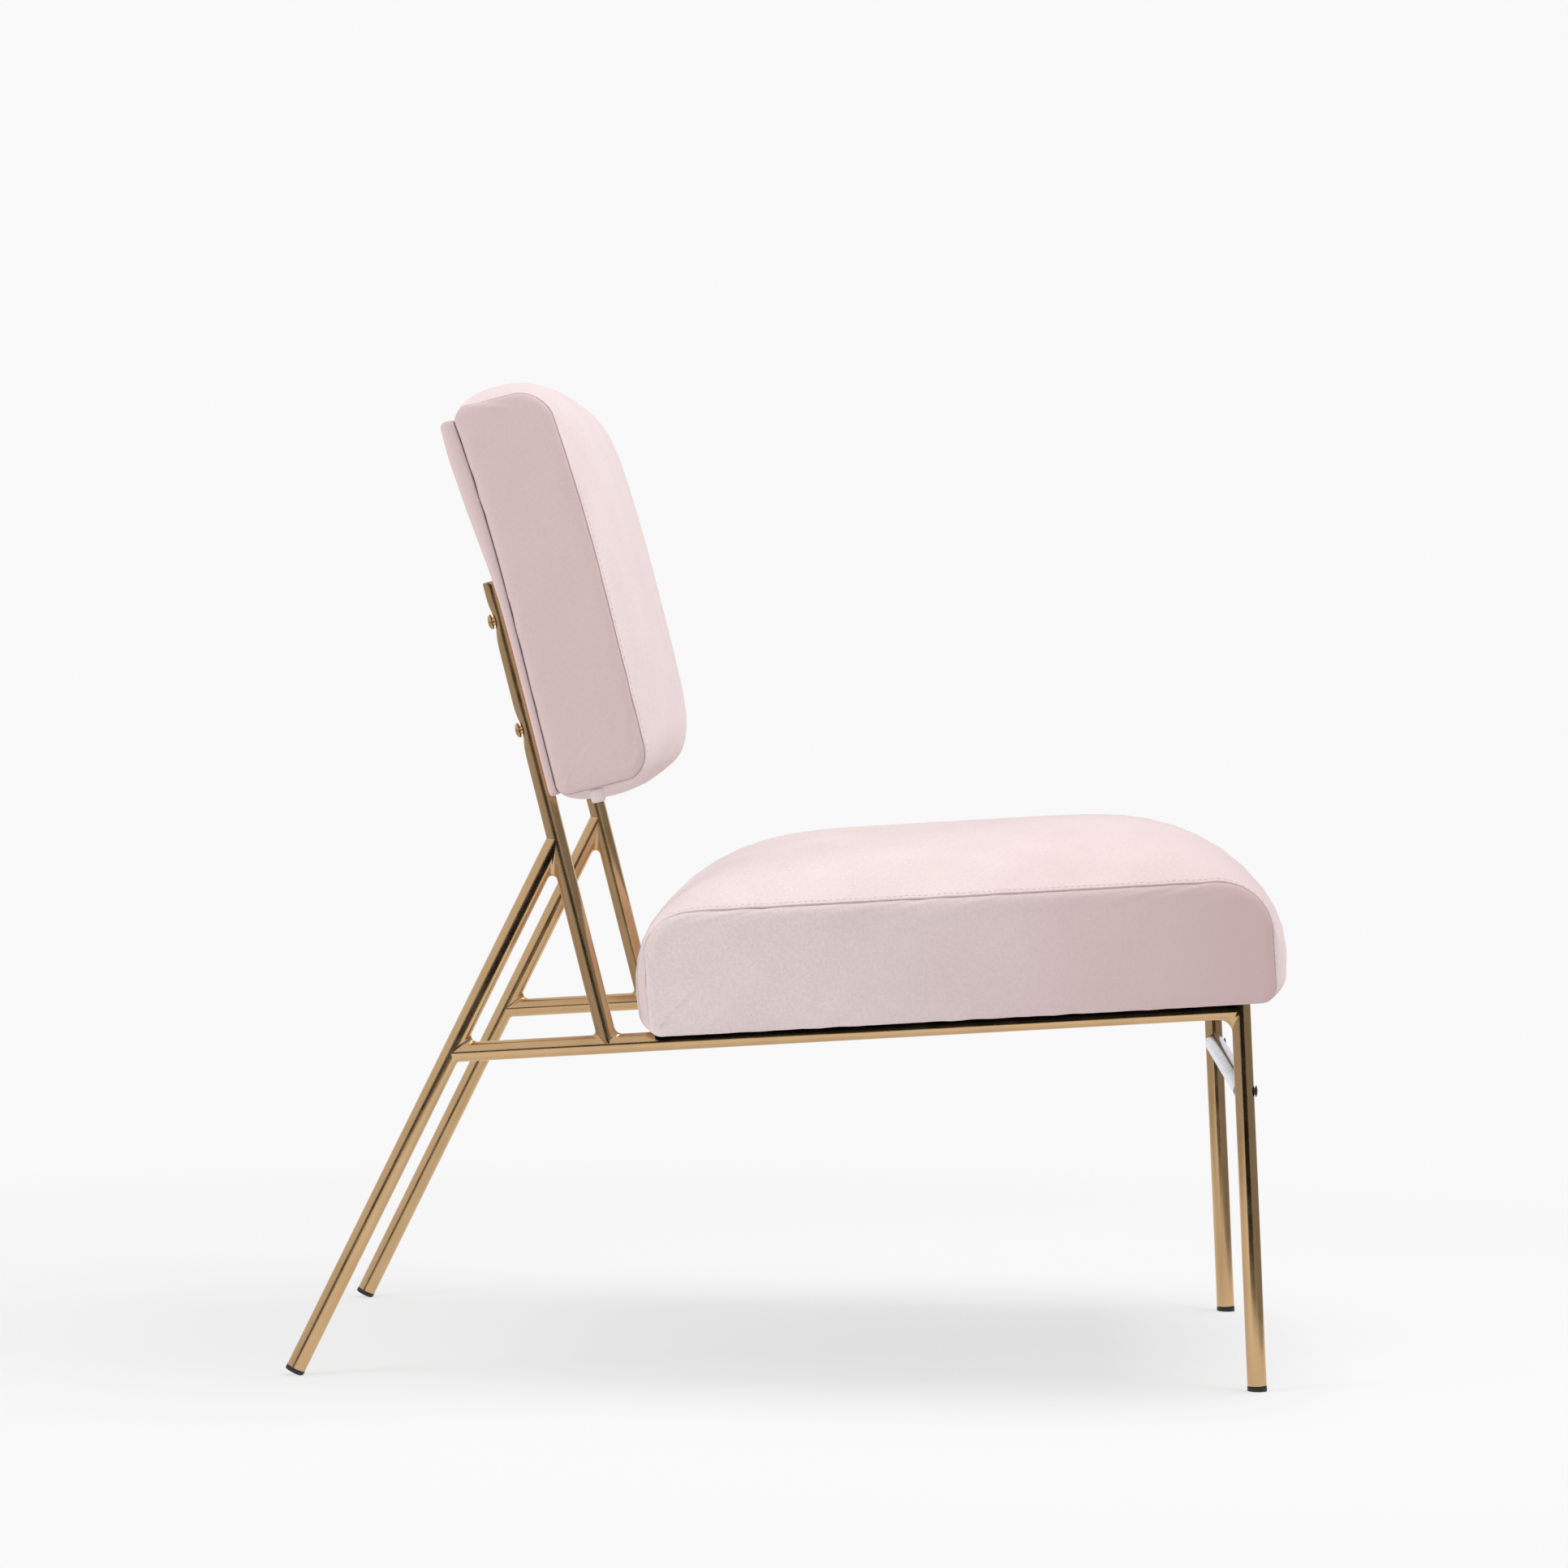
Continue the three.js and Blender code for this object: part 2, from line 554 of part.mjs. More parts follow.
function backSection(share, inset) {
  const box = {
    lowA: between(BACK_END.low, BACK_CROWN.low, share) + inset,
    highA: between(BACK_END.high, BACK_CROWN.high, share) - inset,
    lowB: BACK_END.rear + inset,
    highB: between(BACK_END.front, BACK_CROWN.front, share) - inset,
  };
  const rear = mixCorner(BACK_END_CORNERS.rear, BACK_CROWN_CORNERS.rear, share, inset);
  const high = mixCorner(BACK_END_CORNERS.high, BACK_CROWN_CORNERS.high, share, inset);
  const low = mixCorner(BACK_END_CORNERS.low, BACK_CROWN_CORNERS.low, share, inset);
  return paddedOutline(box, [rear, rear, high, low], [BACK_EDGE_STEPS, 1, BACK_EDGE_STEPS, 1]);
}

// A T-nut along Y: its flange's inner face is at zero and its barrel runs towards -Y
function tNut() {
  return turned([
    [T_NUT.bore, -T_NUT.barrelLength], [T_NUT.barrel, -T_NUT.barrelLength], [T_NUT.barrel, 0],
    [T_NUT.flange, 0], [T_NUT.flange, T_NUT.flangeThickness], [T_NUT.bore, T_NUT.flangeThickness],
    [T_NUT.bore, -T_NUT.barrelLength],
  ], HARDWARE_SIDES);
}

const screwAcross = FRAME_HALF_WIDTH - SEAT_SCREW_INBOARD;
const boardUnderside = SEAT_END.low + COVER_THICKNESS + GAP;
const boardTop = boardUnderside + BOARD_THICKNESS;
const foamUnderside = boardTop + T_NUT.flangeThickness + 3 * GAP;

function eachFastener(places, act) {
  Object.entries(SIDES).forEach(([name, side]) => {
    places.forEach((place, index) => act(name, side, place, index));
  });
}

// Seat pieces lie in a group with Y running back along the rail and Z square to it, so a place
// forward of the rear feet is a negative Y
const seatPlace = (x, forward, up) => new THREE.Vector3(x, -forward, up);

function seatPlate({ rear, front, halfWidth, corner }, underside, thickness) {
  return plate(-halfWidth, halfWidth, -front, -rear, corner, underside, thickness);
}

function seatCover() {
  const outside = cushion(SEAT_HALF_WIDTH, 0, seatSection, seatPlace);
  const inside = cushion(SEAT_HALF_WIDTH, COVER_THICKNESS, seatSection, seatPlace);
  return cut(outside, inside, seatPlate(SEAT_OPENING, 0, 2 * SEAT_END.low));
}

function seatFoam() {
  const inside = cushion(SEAT_HALF_WIDTH, COVER_THICKNESS + GAP, seatSection, seatPlace);
  const above = new THREE.BoxGeometry(ROOMY, ROOMY, ROOMY).translate(0, 0, foamUnderside + ROOMY / 2);
  return overlapOf(inside, above);
}

function drilled(geometry, places, radius, height) {
  const holes = [];
  eachFastener(places, (name, side, along) => {
    const low = new THREE.Vector3(side * screwAcross, -along, height - CUTTER_REACH);
    holes.push(rod(low, low.clone().setZ(height + CUTTER_REACH), radius, HOLE_SIDES));
  });
  return cut(geometry, ...holes);
}

function seatScrewPlace(piece, side, along, up) {
  piece.rotation.x = Math.PI / 2;
  piece.position.set(side * screwAcross, -along, up);
  return piece;
}

// A tab is welded to the rail's inner side and carries one seat screw
function seatTab(side) {
  const [halfLength, halfWidth] = [TAB.length / 2, TAB.width / 2];
  const blank = plate(-halfLength, halfLength, -halfWidth, halfWidth, TAB.corner, 0, TAB.thickness);
  const below = new THREE.Vector3(0, 0, -CUTTER_REACH);
  const hole = rod(below, below.clone().negate(), M6_CLEARANCE_RADIUS, HOLE_SIDES);
  const railEnd = new THREE.Vector3(side * SEAT_SCREW_INBOARD, CUTTER_REACH, -TAB.underside);
  const rail = rod(railEnd.clone().setY(-CUTTER_REACH), railEnd, TUBE_RADIUS + GAP);
  return cut(blank, hole, rail);
}

function seat() {
  const group = new THREE.Group();
  group.position.copy(sidePoint(RAIL.forward, RAIL.height));
  group.rotation.x = -THREE.MathUtils.degToRad(RAIL.angle);
  const board = seatPlate(SEAT_BOARD, boardUnderside, BOARD_THICKNESS);
  const dustCover = seatPlate({
    rear: SEAT_OPENING.rear + DUST_COVER.margin,
    front: SEAT_OPENING.front - DUST_COVER.margin,
    halfWidth: SEAT_OPENING.halfWidth - DUST_COVER.margin,
    corner: SEAT_OPENING.corner,
  }, SEAT_END.low, DUST_COVER.thickness);
  group.add(
    named('seat_cover', seatCover(), velvet),
    named('seat_foam', seatFoam(), foam),
    named('seat_board', drilled(board, SEAT_SCREWS, T_NUT.barrel + GAP, boardUnderside), plywood),
    named('seat_dust_cover', drilled(dustCover, SEAT_SCREWS, M6_CLEARANCE_RADIUS, 0), blackCloth),
  );
  const ends = ['rear', 'front'];
  eachFastener(SEAT_SCREWS, (name, side, along, index) => {
    const place = `${name}_${ends[index]}_seat`;
    const tab = named(`${place}_tab`, seatTab(side), brass);
    tab.position.set(side * screwAcross, -along, TAB.underside);
    const nut = named(`${place}_nut`, tNut(), zinc);
    const screw = named(`${place}_screw`, domeBolt(M6_BOLT, SEAT_SCREW_LENGTH), darkSteel);
    group.add(
      tab,
      seatScrewPlace(nut, side, along, boardTop + GAP),
      seatScrewPlace(screw, side, along, TAB.underside - GAP),
    );
  });
  return group;
}

// Backrest pieces lie in a group with Z running up the upright and Y square to it, so a place
// forward of the upright's axis is a negative Y
function backPlace(x, up, forward) {
  const share = Math.max(up - BACK_BEND.from, 0) / (BACK_BEND.to - BACK_BEND.from);
  return new THREE.Vector3(x, BACK_BEND.depth * share * share - forward, up);
}

// A flat piece of the backrest, which follows its bend
function backPlate({ low, high, halfWidth }, rear, thickness) {
  const rises = [[low, rear], ...evenSteps([low, rear], [high, rear], BACK_EDGE_STEPS), [high, rear]];
  const front = rises.map(([up]) => [up, rear + thickness]).reverse();
  const loops = [-halfWidth, halfWidth].map((x) => {
    return [...rises, ...front].map(([up, forward]) => backPlace(x, up, forward));
  });
  return skinSections(loops, false);
}

const backBoardRear = BACK_END.rear + COVER_THICKNESS + GAP;
const backBoardFront = backBoardRear + BOARD_THICKNESS;
const backFoamRear = backBoardFront + T_NUT.flangeThickness + 3 * GAP;

function backCover() {
  const outside = cushion(BACK_HALF_WIDTH, 0, backSection, backPlace);
  const inside = cushion(BACK_HALF_WIDTH, COVER_THICKNESS, backSection, backPlace);
  return cut(outside, inside, backPlate(BACK_OPENING, BACK_END.rear - COVER_THICKNESS, 3 * COVER_THICKNESS));
}

function backFoam() {
  const inside = cushion(BACK_HALF_WIDTH, COVER_THICKNESS + GAP, backSection, backPlace);
  const ahead = new THREE.BoxGeometry(ROOMY, ROOMY, ROOMY).translate(0, -backFoamRear - ROOMY / 2, 0);
  return overlapOf(inside, ahead);
}

function backDrilled(geometry, radius) {
  const holes = [];
  eachFastener(BACK_BOLTS, (name, side, up) => {
    const rear = new THREE.Vector3(side * FRAME_HALF_WIDTH, CUTTER_REACH, up);
    holes.push(rod(rear, rear.clone().setY(-CUTTER_REACH), radius, HOLE_SIDES));
  });
  return cut(geometry, ...holes);
}

// The pad behind the backrest: a thick plate with rounded rear edges, and a groove for each upright
const PAD_EDGE_STEPS = 3;

function padSection(x, rear) {
  const box = { lowA: PANEL.low, highA: PANEL.high, lowB: rear, highB: PANEL_PAD.front };
  const rearCorner = [PANEL_PAD.corner, PANEL_PAD.rear + PANEL_PAD.corner + 1 - rear];
  const frontCorner = [1, 1];
  const edges = [BACK_EDGE_STEPS, 1, BACK_EDGE_STEPS, 1];
  const outline = paddedOutline(box, [rearCorner, rearCorner, frontCorner, frontCorner], edges);
  return outline.map(([up, forward]) => backPlace(x, up, forward));
}

function panelPad() {
  const rounded = Array.from({ length: PAD_EDGE_STEPS + 1 }, (_, step) => {
    const angle = (Math.PI / 2) * (step / PAD_EDGE_STEPS);
    const across = PANEL.halfWidth - PANEL_PAD.corner * (1 - Math.cos(angle));
    return { across, rear: PANEL_PAD.rear + PANEL_PAD.corner * (1 - Math.sin(angle)) };
  });
  const rightEdge = rounded.map(({ across, rear }) => padSection(-across, rear));
  const leftEdge = rounded.map(({ across, rear }) => padSection(across, rear)).reverse();
  const pad = skinSections([...rightEdge, ...leftEdge], false);
  const grooves = Object.values(SIDES).map((side) => {
    const low = new THREE.Vector3(side * FRAME_HALF_WIDTH, 0, PANEL.low - CUTTER_REACH);
    return rod(low, low.clone().setZ(UPRIGHT_LENGTH + 1), PANEL_GROOVE_RADIUS);
  });
  return cut(backDrilled(pad, M6_CLEARANCE_RADIUS), ...grooves);
}

// A folded tab at each end of the cover's lower seam
function coverTab(side) {
  const { low, width, height, thickness, forward, outboard } = COVER_TAB;
  const tab = new THREE.BoxGeometry(thickness, width, height);
  return tab.translate(side * outboard, -forward, low + height / 2);
}

function backrest() {
  const group = new THREE.Group();
  group.position.copy(sidePoint(UPRIGHT.forward, UPRIGHT.height));
  group.rotation.x = THREE.MathUtils.degToRad(90 - UPRIGHT.angle);
  const board = backPlate(BACK_BOARD, backBoardRear, BOARD_THICKNESS);
  const panelBoard = backPlate(PANEL, PANEL_PAD.front + GAP, PANEL_BOARD_THICKNESS);
  group.add(
    named('back_cover', backCover(), velvet),
    named('back_foam', backFoam(), foam),
    named('back_board', backDrilled(board, T_NUT.barrel + GAP), plywood),
    named('back_panel_board', backDrilled(panelBoard, M6_CLEARANCE_RADIUS), hardboard),
    named('back_panel_pad', panelPad(), velvet),
  );
  Object.entries(SIDES).forEach(([name, side]) => {
    group.add(named(`${name}_cover_tab`, coverTab(side), velvet));
  });
  const levels = ['lower', 'upper'];
  eachFastener(BACK_BOLTS, (name, side, up, index) => {
    const place = `${name}_${levels[index]}_back`;
    const nut = named(`${place}_nut`, tNut(), zinc);
    nut.rotation.z = Math.PI;
    nut.position.set(side * FRAME_HALF_WIDTH, -backBoardFront - GAP, up);
    const bolt = named(`${place}_bolt`, domeBolt(M6_BOLT, BACK_BOLT_LENGTH), brass);
    bolt.rotation.z = Math.PI;
    bolt.position.set(side * FRAME_HALF_WIDTH, TUBE_RADIUS + GAP, up);
    group.add(nut, bolt);
  });
  return group;
}

// ---------------------------------------------------------------- the chair

const chair = new THREE.Group();
Object.entries(SIDES).forEach(([name, side]) => chair.add(sideFrame(name, side)));
chair.add(spreader(), seat(), backrest());

export default chair;
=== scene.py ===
import math

import bmesh
import bpy
import numpy as np
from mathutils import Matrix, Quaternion, Vector, kdtree, noise


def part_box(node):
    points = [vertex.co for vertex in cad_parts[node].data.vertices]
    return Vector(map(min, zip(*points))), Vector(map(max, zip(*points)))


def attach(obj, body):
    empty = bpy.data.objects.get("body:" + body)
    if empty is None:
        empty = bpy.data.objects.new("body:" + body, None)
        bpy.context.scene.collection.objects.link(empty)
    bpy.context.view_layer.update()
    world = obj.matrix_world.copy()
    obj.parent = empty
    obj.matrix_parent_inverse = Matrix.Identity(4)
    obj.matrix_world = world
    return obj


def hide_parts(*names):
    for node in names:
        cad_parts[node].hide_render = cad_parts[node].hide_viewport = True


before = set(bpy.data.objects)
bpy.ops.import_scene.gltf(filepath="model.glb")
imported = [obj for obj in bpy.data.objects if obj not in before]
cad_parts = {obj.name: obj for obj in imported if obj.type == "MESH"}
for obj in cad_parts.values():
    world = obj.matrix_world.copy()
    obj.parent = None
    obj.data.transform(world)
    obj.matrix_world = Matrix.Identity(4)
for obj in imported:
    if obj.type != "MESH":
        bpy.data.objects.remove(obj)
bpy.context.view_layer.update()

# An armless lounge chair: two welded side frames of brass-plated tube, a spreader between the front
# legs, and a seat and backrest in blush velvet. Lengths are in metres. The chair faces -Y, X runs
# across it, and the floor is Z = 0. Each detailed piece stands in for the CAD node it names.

MM = 0.001
SIDES = {"right": -1, "left": 1}
SHARP_ANGLE = math.radians(52)

# ---------------------------------------------------------------- dimensions of the frame

TUBE_RADIUS = 8 * MM
TUBE_SIDES = 64
FRAME_HALF_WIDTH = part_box("left_upright")[1].x - TUBE_RADIUS
REAR_FEET_BACK = 411.5 * MM
REAR_LEG = (0.7 * MM, 0, 64.35)  # forward of the rear feet, height, and angle up from level
RAIL = (0, 260.4 * MM, 4)
UPRIGHT = (254.7 * MM, 300 * MM, 104.8)
FRONT_LEG = (799.1 * MM, 0, 93.25)
UPRIGHT_LENGTH = 372 * MM
FOOT_THICKNESS = 4 * MM
FRONT_FOOT_EXTRA = 1 * MM  # how much thicker the front feet are, before the floor wears them flat
CENTRE_RADIUS = 0.01 * MM  # of the smallest ring, in the middle of a turned end
SPREADER_RADIUS = 8.7 * MM
SPREADER_HEIGHT = 247.5 * MM
SPREADER_SET_BACK = 5.2 * MM
BACK_BOLTS = (247.3 * MM, 339.5 * MM)
DIMPLE_DEPTH = 2.4 * MM  # of the upright's rear face, at each back bolt
SEAT_SCREWS = (360 * MM, 720 * MM)
SEAT_SCREW_INBOARD = 22 * MM
TAB_UNDERSIDE = 4.6 * MM

# ---------------------------------------------------------------- dimensions of the upholstery

# Outlines of the seat along the rail and up from its axis: at an end panel, and at the centre
SEAT_HALF_WIDTH = 285 * MM
SEAT_END = np.array([297, 811, 6, 107]) * MM
SEAT_CROWN = np.array([277, 832, 8.3, 155]) * MM
SEAT_END_CORNERS = np.array([[10, 10], [13, 13], [42, 42], [40, 32]]) * MM
SEAT_CROWN_CORNERS = np.array([[12, 12], [14, 14], [154, 116], [160, 112]]) * MM
SEAT_EDGE_STEPS = (64, 10, 64, 10)
SEAT_OPENING = (322 * MM, 786 * MM, 254 * MM)  # rear, front and half width of the underside's opening

# Outlines of the backrest up the upright and forward of its axis
BACK_HALF_WIDTH = 285 * MM
BACK_END = np.array([186, 515, 12.6, 91]) * MM
BACK_CROWN = np.array([176, 537, 12.6, 110]) * MM
BACK_END_CORNERS = np.array([[9, 9], [13, 15], [26, 26], [24, 20]]) * MM
BACK_CROWN_CORNERS = np.array([[12, 12], [28, 36], [62, 58], [64, 56]]) * MM
BACK_EDGE_STEPS = (48, 8, 48, 8)
BACK_BEND = (345 * MM, 515 * MM, 8.5 * MM)  # start, end, and how far it curves rearwards

PANEL = (188 * MM, 507 * MM, 282.5 * MM)  # low, high and half width of the padded rear panel
PANEL_DEPTH = (0.5 * MM, 12.4 * MM)  # its rear and front faces
PANEL_ROLL = 6 * MM  # rounding of its ends
PANEL_EDGE = 5.5 * MM
PANEL_PLUMP = 3.6 * MM
PANEL_PRESSED = 5 * MM  # how far the uprights push it forward
PRESS_REACH = 34 * MM  # how far inboard of an upright that is felt
PRESS_FADE = 24 * MM  # how gradually it ends above an upright
COVER_TAB = {"low": 174 * MM, "width": 12 * MM, "height": 11 * MM, "forward": 44 * MM}
CORNER_STEPS = 10


# ---------------------------------------------------------------- small helpers

def unit(vector):
    return vector / np.linalg.norm(vector)


def mix(low, high, share):
    return low + (high - low) * share


def mesh_piece(name, points, faces, material, nodes=(), slot=None):
    mesh = bpy.data.meshes.new(name)
    mesh.from_pydata([tuple(map(float, p)) for p in points], [], [tuple(map(int, f)) for f in faces])
    mesh.update()
    fix = bmesh.new()
    fix.from_mesh(mesh)
    bmesh.ops.recalc_face_normals(fix, faces=fix.faces)
    fix.to_mesh(mesh)
    fix.free()
    mesh.polygons.foreach_set("use_smooth", [True] * len(mesh.polygons))
    mesh.set_sharp_from_angle(angle=SHARP_ANGLE)
    mesh.materials.append(material)
    piece = bpy.data.objects.new(name, mesh)
    bpy.context.scene.collection.objects.link(piece)
    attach(piece, "root")
    if nodes:
        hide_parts(*nodes)
    return piece


def skin(rows, ring=False):
    """Points and faces of a surface over rows that are closed loops of points. The rows join into a
    ring, or the first and last are each closed by strips between the two halves of their loop."""
    rows = np.asarray(rows)
    bands, count = rows.shape[0], rows.shape[1]
    faces = []
    for band in range(bands if ring else bands - 1):
        here, there = band * count, (band + 1) % bands * count
        for step in range(count):
            after = (step + 1) % count
            faces.append((here + step, here + after, there + after, there + step))
    if not ring:
        for start in (0, (bands - 1) * count):
            for step in range(count // 2 - 1):
                facing = count - 1 - step
                faces.append((start + step, start + step + 1, start + facing - 1, start + facing))
    return rows.reshape(-1, 3), faces


def square_axes(direction):
    """Two unit vectors square to a direction, the first as near level across the chair as it can be."""
    across = np.array([1.0, 0, 0]) if abs(direction[0]) < 0.9 else np.array([0, 1.0, 0])
    across = unit(across - direction * np.dot(across, direction))
    return across, np.cross(direction, across)


def turned_rows(origin, direction, profile, sides=TUBE_SIDES):
    """Loops of points about an axis from a profile of (radius, distance along) pairs."""
    first, second = square_axes(direction)
    angles = np.arange(sides) * 2 * math.pi / sides
    ring = np.outer(np.cos(angles), first) + np.outer(np.sin(angles), second)
    return np.array([origin + direction * along + ring * radius for radius, along in profile])


def lip(radius, along, rounding, inwards, steps=4):
    """Profile pairs of a rounded end edge; inwards is +1 at a far end and -1 at a near one."""
    angles = [math.pi / 2 * step / steps for step in range(steps + 1)]
    pairs = [(radius - rounding + rounding * math.cos(a), along - inwards * rounding * (1 - math.sin(a)))
             for a in angles]
    return pairs if inwards > 0 else pairs[::-1]


# ---------------------------------------------------------------- materials

def new_material(name, **values):
    material = bpy.data.materials.new(name)
    material.use_nodes = True
    shader = material.node_tree.nodes["Principled BSDF"]
    for socket, value in values.items():
        shader.inputs[socket.replace("_", " ")].default_value = value
    return material, material.node_tree, shader


def add_noise(tree, scale, detail=2.0, stretch=(1, 1, 1)):
    """Noise laid in the piece's own metres, so it doesn't depend on UVs."""
    place = tree.nodes.new("ShaderNodeTexCoord")
    mapping = tree.nodes.new("ShaderNodeMapping")
    mapping.inputs["Scale"].default_value = stretch
    texture = tree.nodes.new("ShaderNodeTexNoise")
    texture.inputs["Scale"].default_value = scale
    texture.inputs["Detail"].default_value = detail
    tree.links.new(place.outputs["Object"], mapping.inputs["Vector"])
    tree.links.new(mapping.outputs["Vector"], texture.inputs["Vector"])
    return texture.outputs["Fac"]


def add_ramp(tree, source, low, high, start=0.3, end=0.7):
    ramp = tree.nodes.new("ShaderNodeValToRGB")
    ramp.color_ramp.elements[0].position = start
    ramp.color_ramp.elements[1].position = end
    ramp.color_ramp.elements[0].color = (*low, 1)
    ramp.color_ramp.elements[1].color = (*high, 1)
    tree.links.new(source, ramp.inputs["Fac"])
    return ramp.outputs["Color"]


def add_range(tree, source, low, high):
    """Source, from 0.3 to 0.7, mapped from low to high."""
    node = tree.nodes.new("ShaderNodeMapRange")
    node.inputs["From Min"].default_value = 0.3
    node.inputs["From Max"].default_value = 0.7
    node.inputs["To Min"].default_value = low
    node.inputs["To Max"].default_value = high
    tree.links.new(source, node.inputs["Value"])
    return node.outputs["Result"]


def add_bump(tree, source, strength, distance, shader):
    bump = tree.nodes.new("ShaderNodeBump")
    bump.inputs["Strength"].default_value = strength
    bump.inputs["Distance"].default_value = distance
    tree.links.new(source, bump.inputs["Height"])
    tree.links.new(bump.outputs["Normal"], shader.inputs["Normal"])


def blend_colours(tree, kind, factor, first, second):
    node = tree.nodes.new("ShaderNodeMix")
    node.data_type = "RGBA"
    node.blend_type = kind
    if isinstance(factor, float):
        node.inputs["Factor"].default_value = factor
    else:
        tree.links.new(factor, node.inputs["Factor"])
    colours = [socket for socket in node.inputs if socket.type == "RGBA"]
    for socket, value in zip(colours, (first, second)):
        if isinstance(value, tuple):
            socket.default_value = (*value, 1)
        else:
            tree.links.new(value, socket)
    return next(socket for socket in node.outputs if socket.type == "RGBA")


def velvet_material():
    """Short-pile velvet: clouds, a fine mottle, a darker tone mixed in where one stored value says, and
    painted shade along the end seams where another says.
    """
    material, tree, shader = new_material(
        "blush_velvet", Roughness=0.9, Sheen_Weight=0.35, Sheen_Roughness=0.35,
        Sheen_Tint=(1.0, 0.93, 0.93, 1), Specular_IOR_Level=0.15)
    clouds = add_ramp(tree, add_noise(tree, 14, 3), (0.735, 0.618, 0.618), (0.785, 0.676, 0.674))
    mottle = add_ramp(tree, add_noise(tree, 420, 3), (0.90, 0.90, 0.90), (1.0, 1.0, 1.0))
    cloth = blend_colours(tree, "MULTIPLY", 1.0, clouds, mottle)
    # The first stored value mixes in a darker velvet tone; the second mixes in painted shade along the end
    # seams
    for painted, colour in (("tone_darkening", (0.60, 0.445, 0.445)), ("painted_seam_shade", (0.20, 0.135, 0.14))):
        layer = tree.nodes.new("ShaderNodeAttribute")
        layer.attribute_name = painted
        cloth = blend_colours(tree, "MIX", layer.outputs["Fac"], cloth, colour)
    tree.links.new(cloth, shader.inputs["Base Color"])
    add_bump(tree, add_noise(tree, 520, 3), 0.35, 0.6 * MM, shader)
    return material


def thread_material():
    material, tree, shader = new_material(
        "pink_thread", Base_Color=(0.68, 0.53, 0.532, 1), Roughness=0.75)
    add_bump(tree, add_noise(tree, 2500, 1), 0.2, 0.1 * MM, shader)
    return material


def brass_material():
    """Satin-polished brass plate, with uneven polish and tone."""
    material, tree, shader = new_material("brass", Metallic=1.0)
    tree.links.new(add_range(tree, add_noise(tree, 60, 3), 0.15, 0.21), shader.inputs["Roughness"])
    tone = add_ramp(tree, add_noise(tree, 30, 2), (0.60, 0.395, 0.205), (0.66, 0.44, 0.235))
    tree.links.new(tone, shader.inputs["Base Color"])
    return material


def metal_material(name, colour, roughness):
    material, tree, shader = new_material(name, Base_Color=(*colour, 1), Metallic=1.0)
    tree.links.new(add_range(tree, add_noise(tree, 160, 2), roughness - 0.04, roughness + 0.05),
                   shader.inputs["Roughness"])
    return material


def rubber_material():
    material, tree, shader = new_material("black_cap", Base_Color=(0.012, 0.012, 0.013, 1), Roughness=0.5)
    add_bump(tree, add_noise(tree, 900, 2), 0.1, 0.1 * MM, shader)
    return material


def wood_material(name, light, dark, stretch):
    material, tree, shader = new_material(name, Roughness=0.75)
    grain = add_ramp(tree, add_noise(tree, 40, 4, stretch), dark, light)
    tree.links.new(grain, shader.inputs["Base Color"])
    return material


def dust_cloth_material():
    """Black spunbonded dust cover, with a pressed fleck."""
    material, tree, shader = new_material("dust_cloth", Roughness=0.95)
    fleck = add_ramp(tree, add_noise(tree, 700, 2), (0.007, 0.007, 0.008), (0.022, 0.022, 0.024))
    tree.links.new(fleck, shader.inputs["Base Color"])
    add_bump(tree, add_noise(tree, 500, 2), 0.4, 0.3 * MM, shader)
    return material


VELVET = velvet_material()
THREAD = thread_material()
BRASS = brass_material()
NICKEL = metal_material("nickel", (0.70, 0.70, 0.80), 0.2)
DARK_STEEL = metal_material("dark_steel", (0.09, 0.088, 0.092), 0.36)
ZINC = metal_material("zinc", (0.42, 0.43, 0.45), 0.42)
RUBBER = rubber_material()
PLYWOOD = wood_material("plywood", (0.60, 0.42, 0.24), (0.42, 0.27, 0.14), (0.2, 1, 4))
FOAM = wood_material("foam", (0.83, 0.76, 0.55), (0.76, 0.69, 0.48), (12, 12, 12))
DUST_CLOTH = dust_cloth_material()

CAD_FINISHES = {"board": PLYWOOD, "nut": ZINC, "dowel": ZINC, "tab": BRASS, "foam": FOAM}


def finish_cad_nodes():
    """Paints the CAD nodes that stay as they are."""
    for name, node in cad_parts.items():
        for ending, material in CAD_FINISHES.items():
            if name.endswith(ending):
                node.data.materials.clear()
                node.data.materials.append(material)


# ---------------------------------------------------------------- side frame layout

def side_point(forward, height):
    return np.array([0, REAR_FEET_BACK - forward, height])


def centre_line(values):
    forward, height, degrees = values
    angle = math.radians(degrees)
    return side_point(forward, height), np.array([0, -math.cos(angle), math.sin(angle)])


def on_line(line, along):
    return line[0] + line[1] * along


def at_height(line, height):
    return on_line(line, (height - line[0][2]) / line[1][2])


def meeting(first, second):
    across = first[1][1] * second[1][2] - first[1][2] * second[1][1]
    gap = second[0] - first[0]
    return on_line(first, (gap[1] * second[1][2] - gap[2] * second[1][1]) / across)


REAR_LEG_LINE = centre_line(REAR_LEG)
RAIL_LINE = centre_line(RAIL)
UPRIGHT_LINE = centre_line(UPRIGHT)
FRONT_LEG_LINE = centre_line(FRONT_LEG)
RAIL_AT_REAR = meeting(RAIL_LINE, REAR_LEG_LINE)
RAIL_AT_UPRIGHT = meeting(RAIL_LINE, UPRIGHT_LINE)
RAIL_AT_FRONT = meeting(RAIL_LINE, FRONT_LEG_LINE)
FORK = meeting(REAR_LEG_LINE, UPRIGHT_LINE)
SPREADER_POINT = at_height(FRONT_LEG_LINE, SPREADER_HEIGHT)
REAR_FOOT = at_height(REAR_LEG_LINE, TUBE_RADIUS * math.sin(math.radians(90 - REAR_LEG[2])) - 1 * MM)
FRONT_FOOT = at_height(FRONT_LEG_LINE, -FRONT_FOOT_EXTRA)


def squarely_up(direction):
    """The direction turned a quarter turn in the side view: up from a rail, ahead of an upright."""
    return np.array([0, -direction[2], direction[1]])


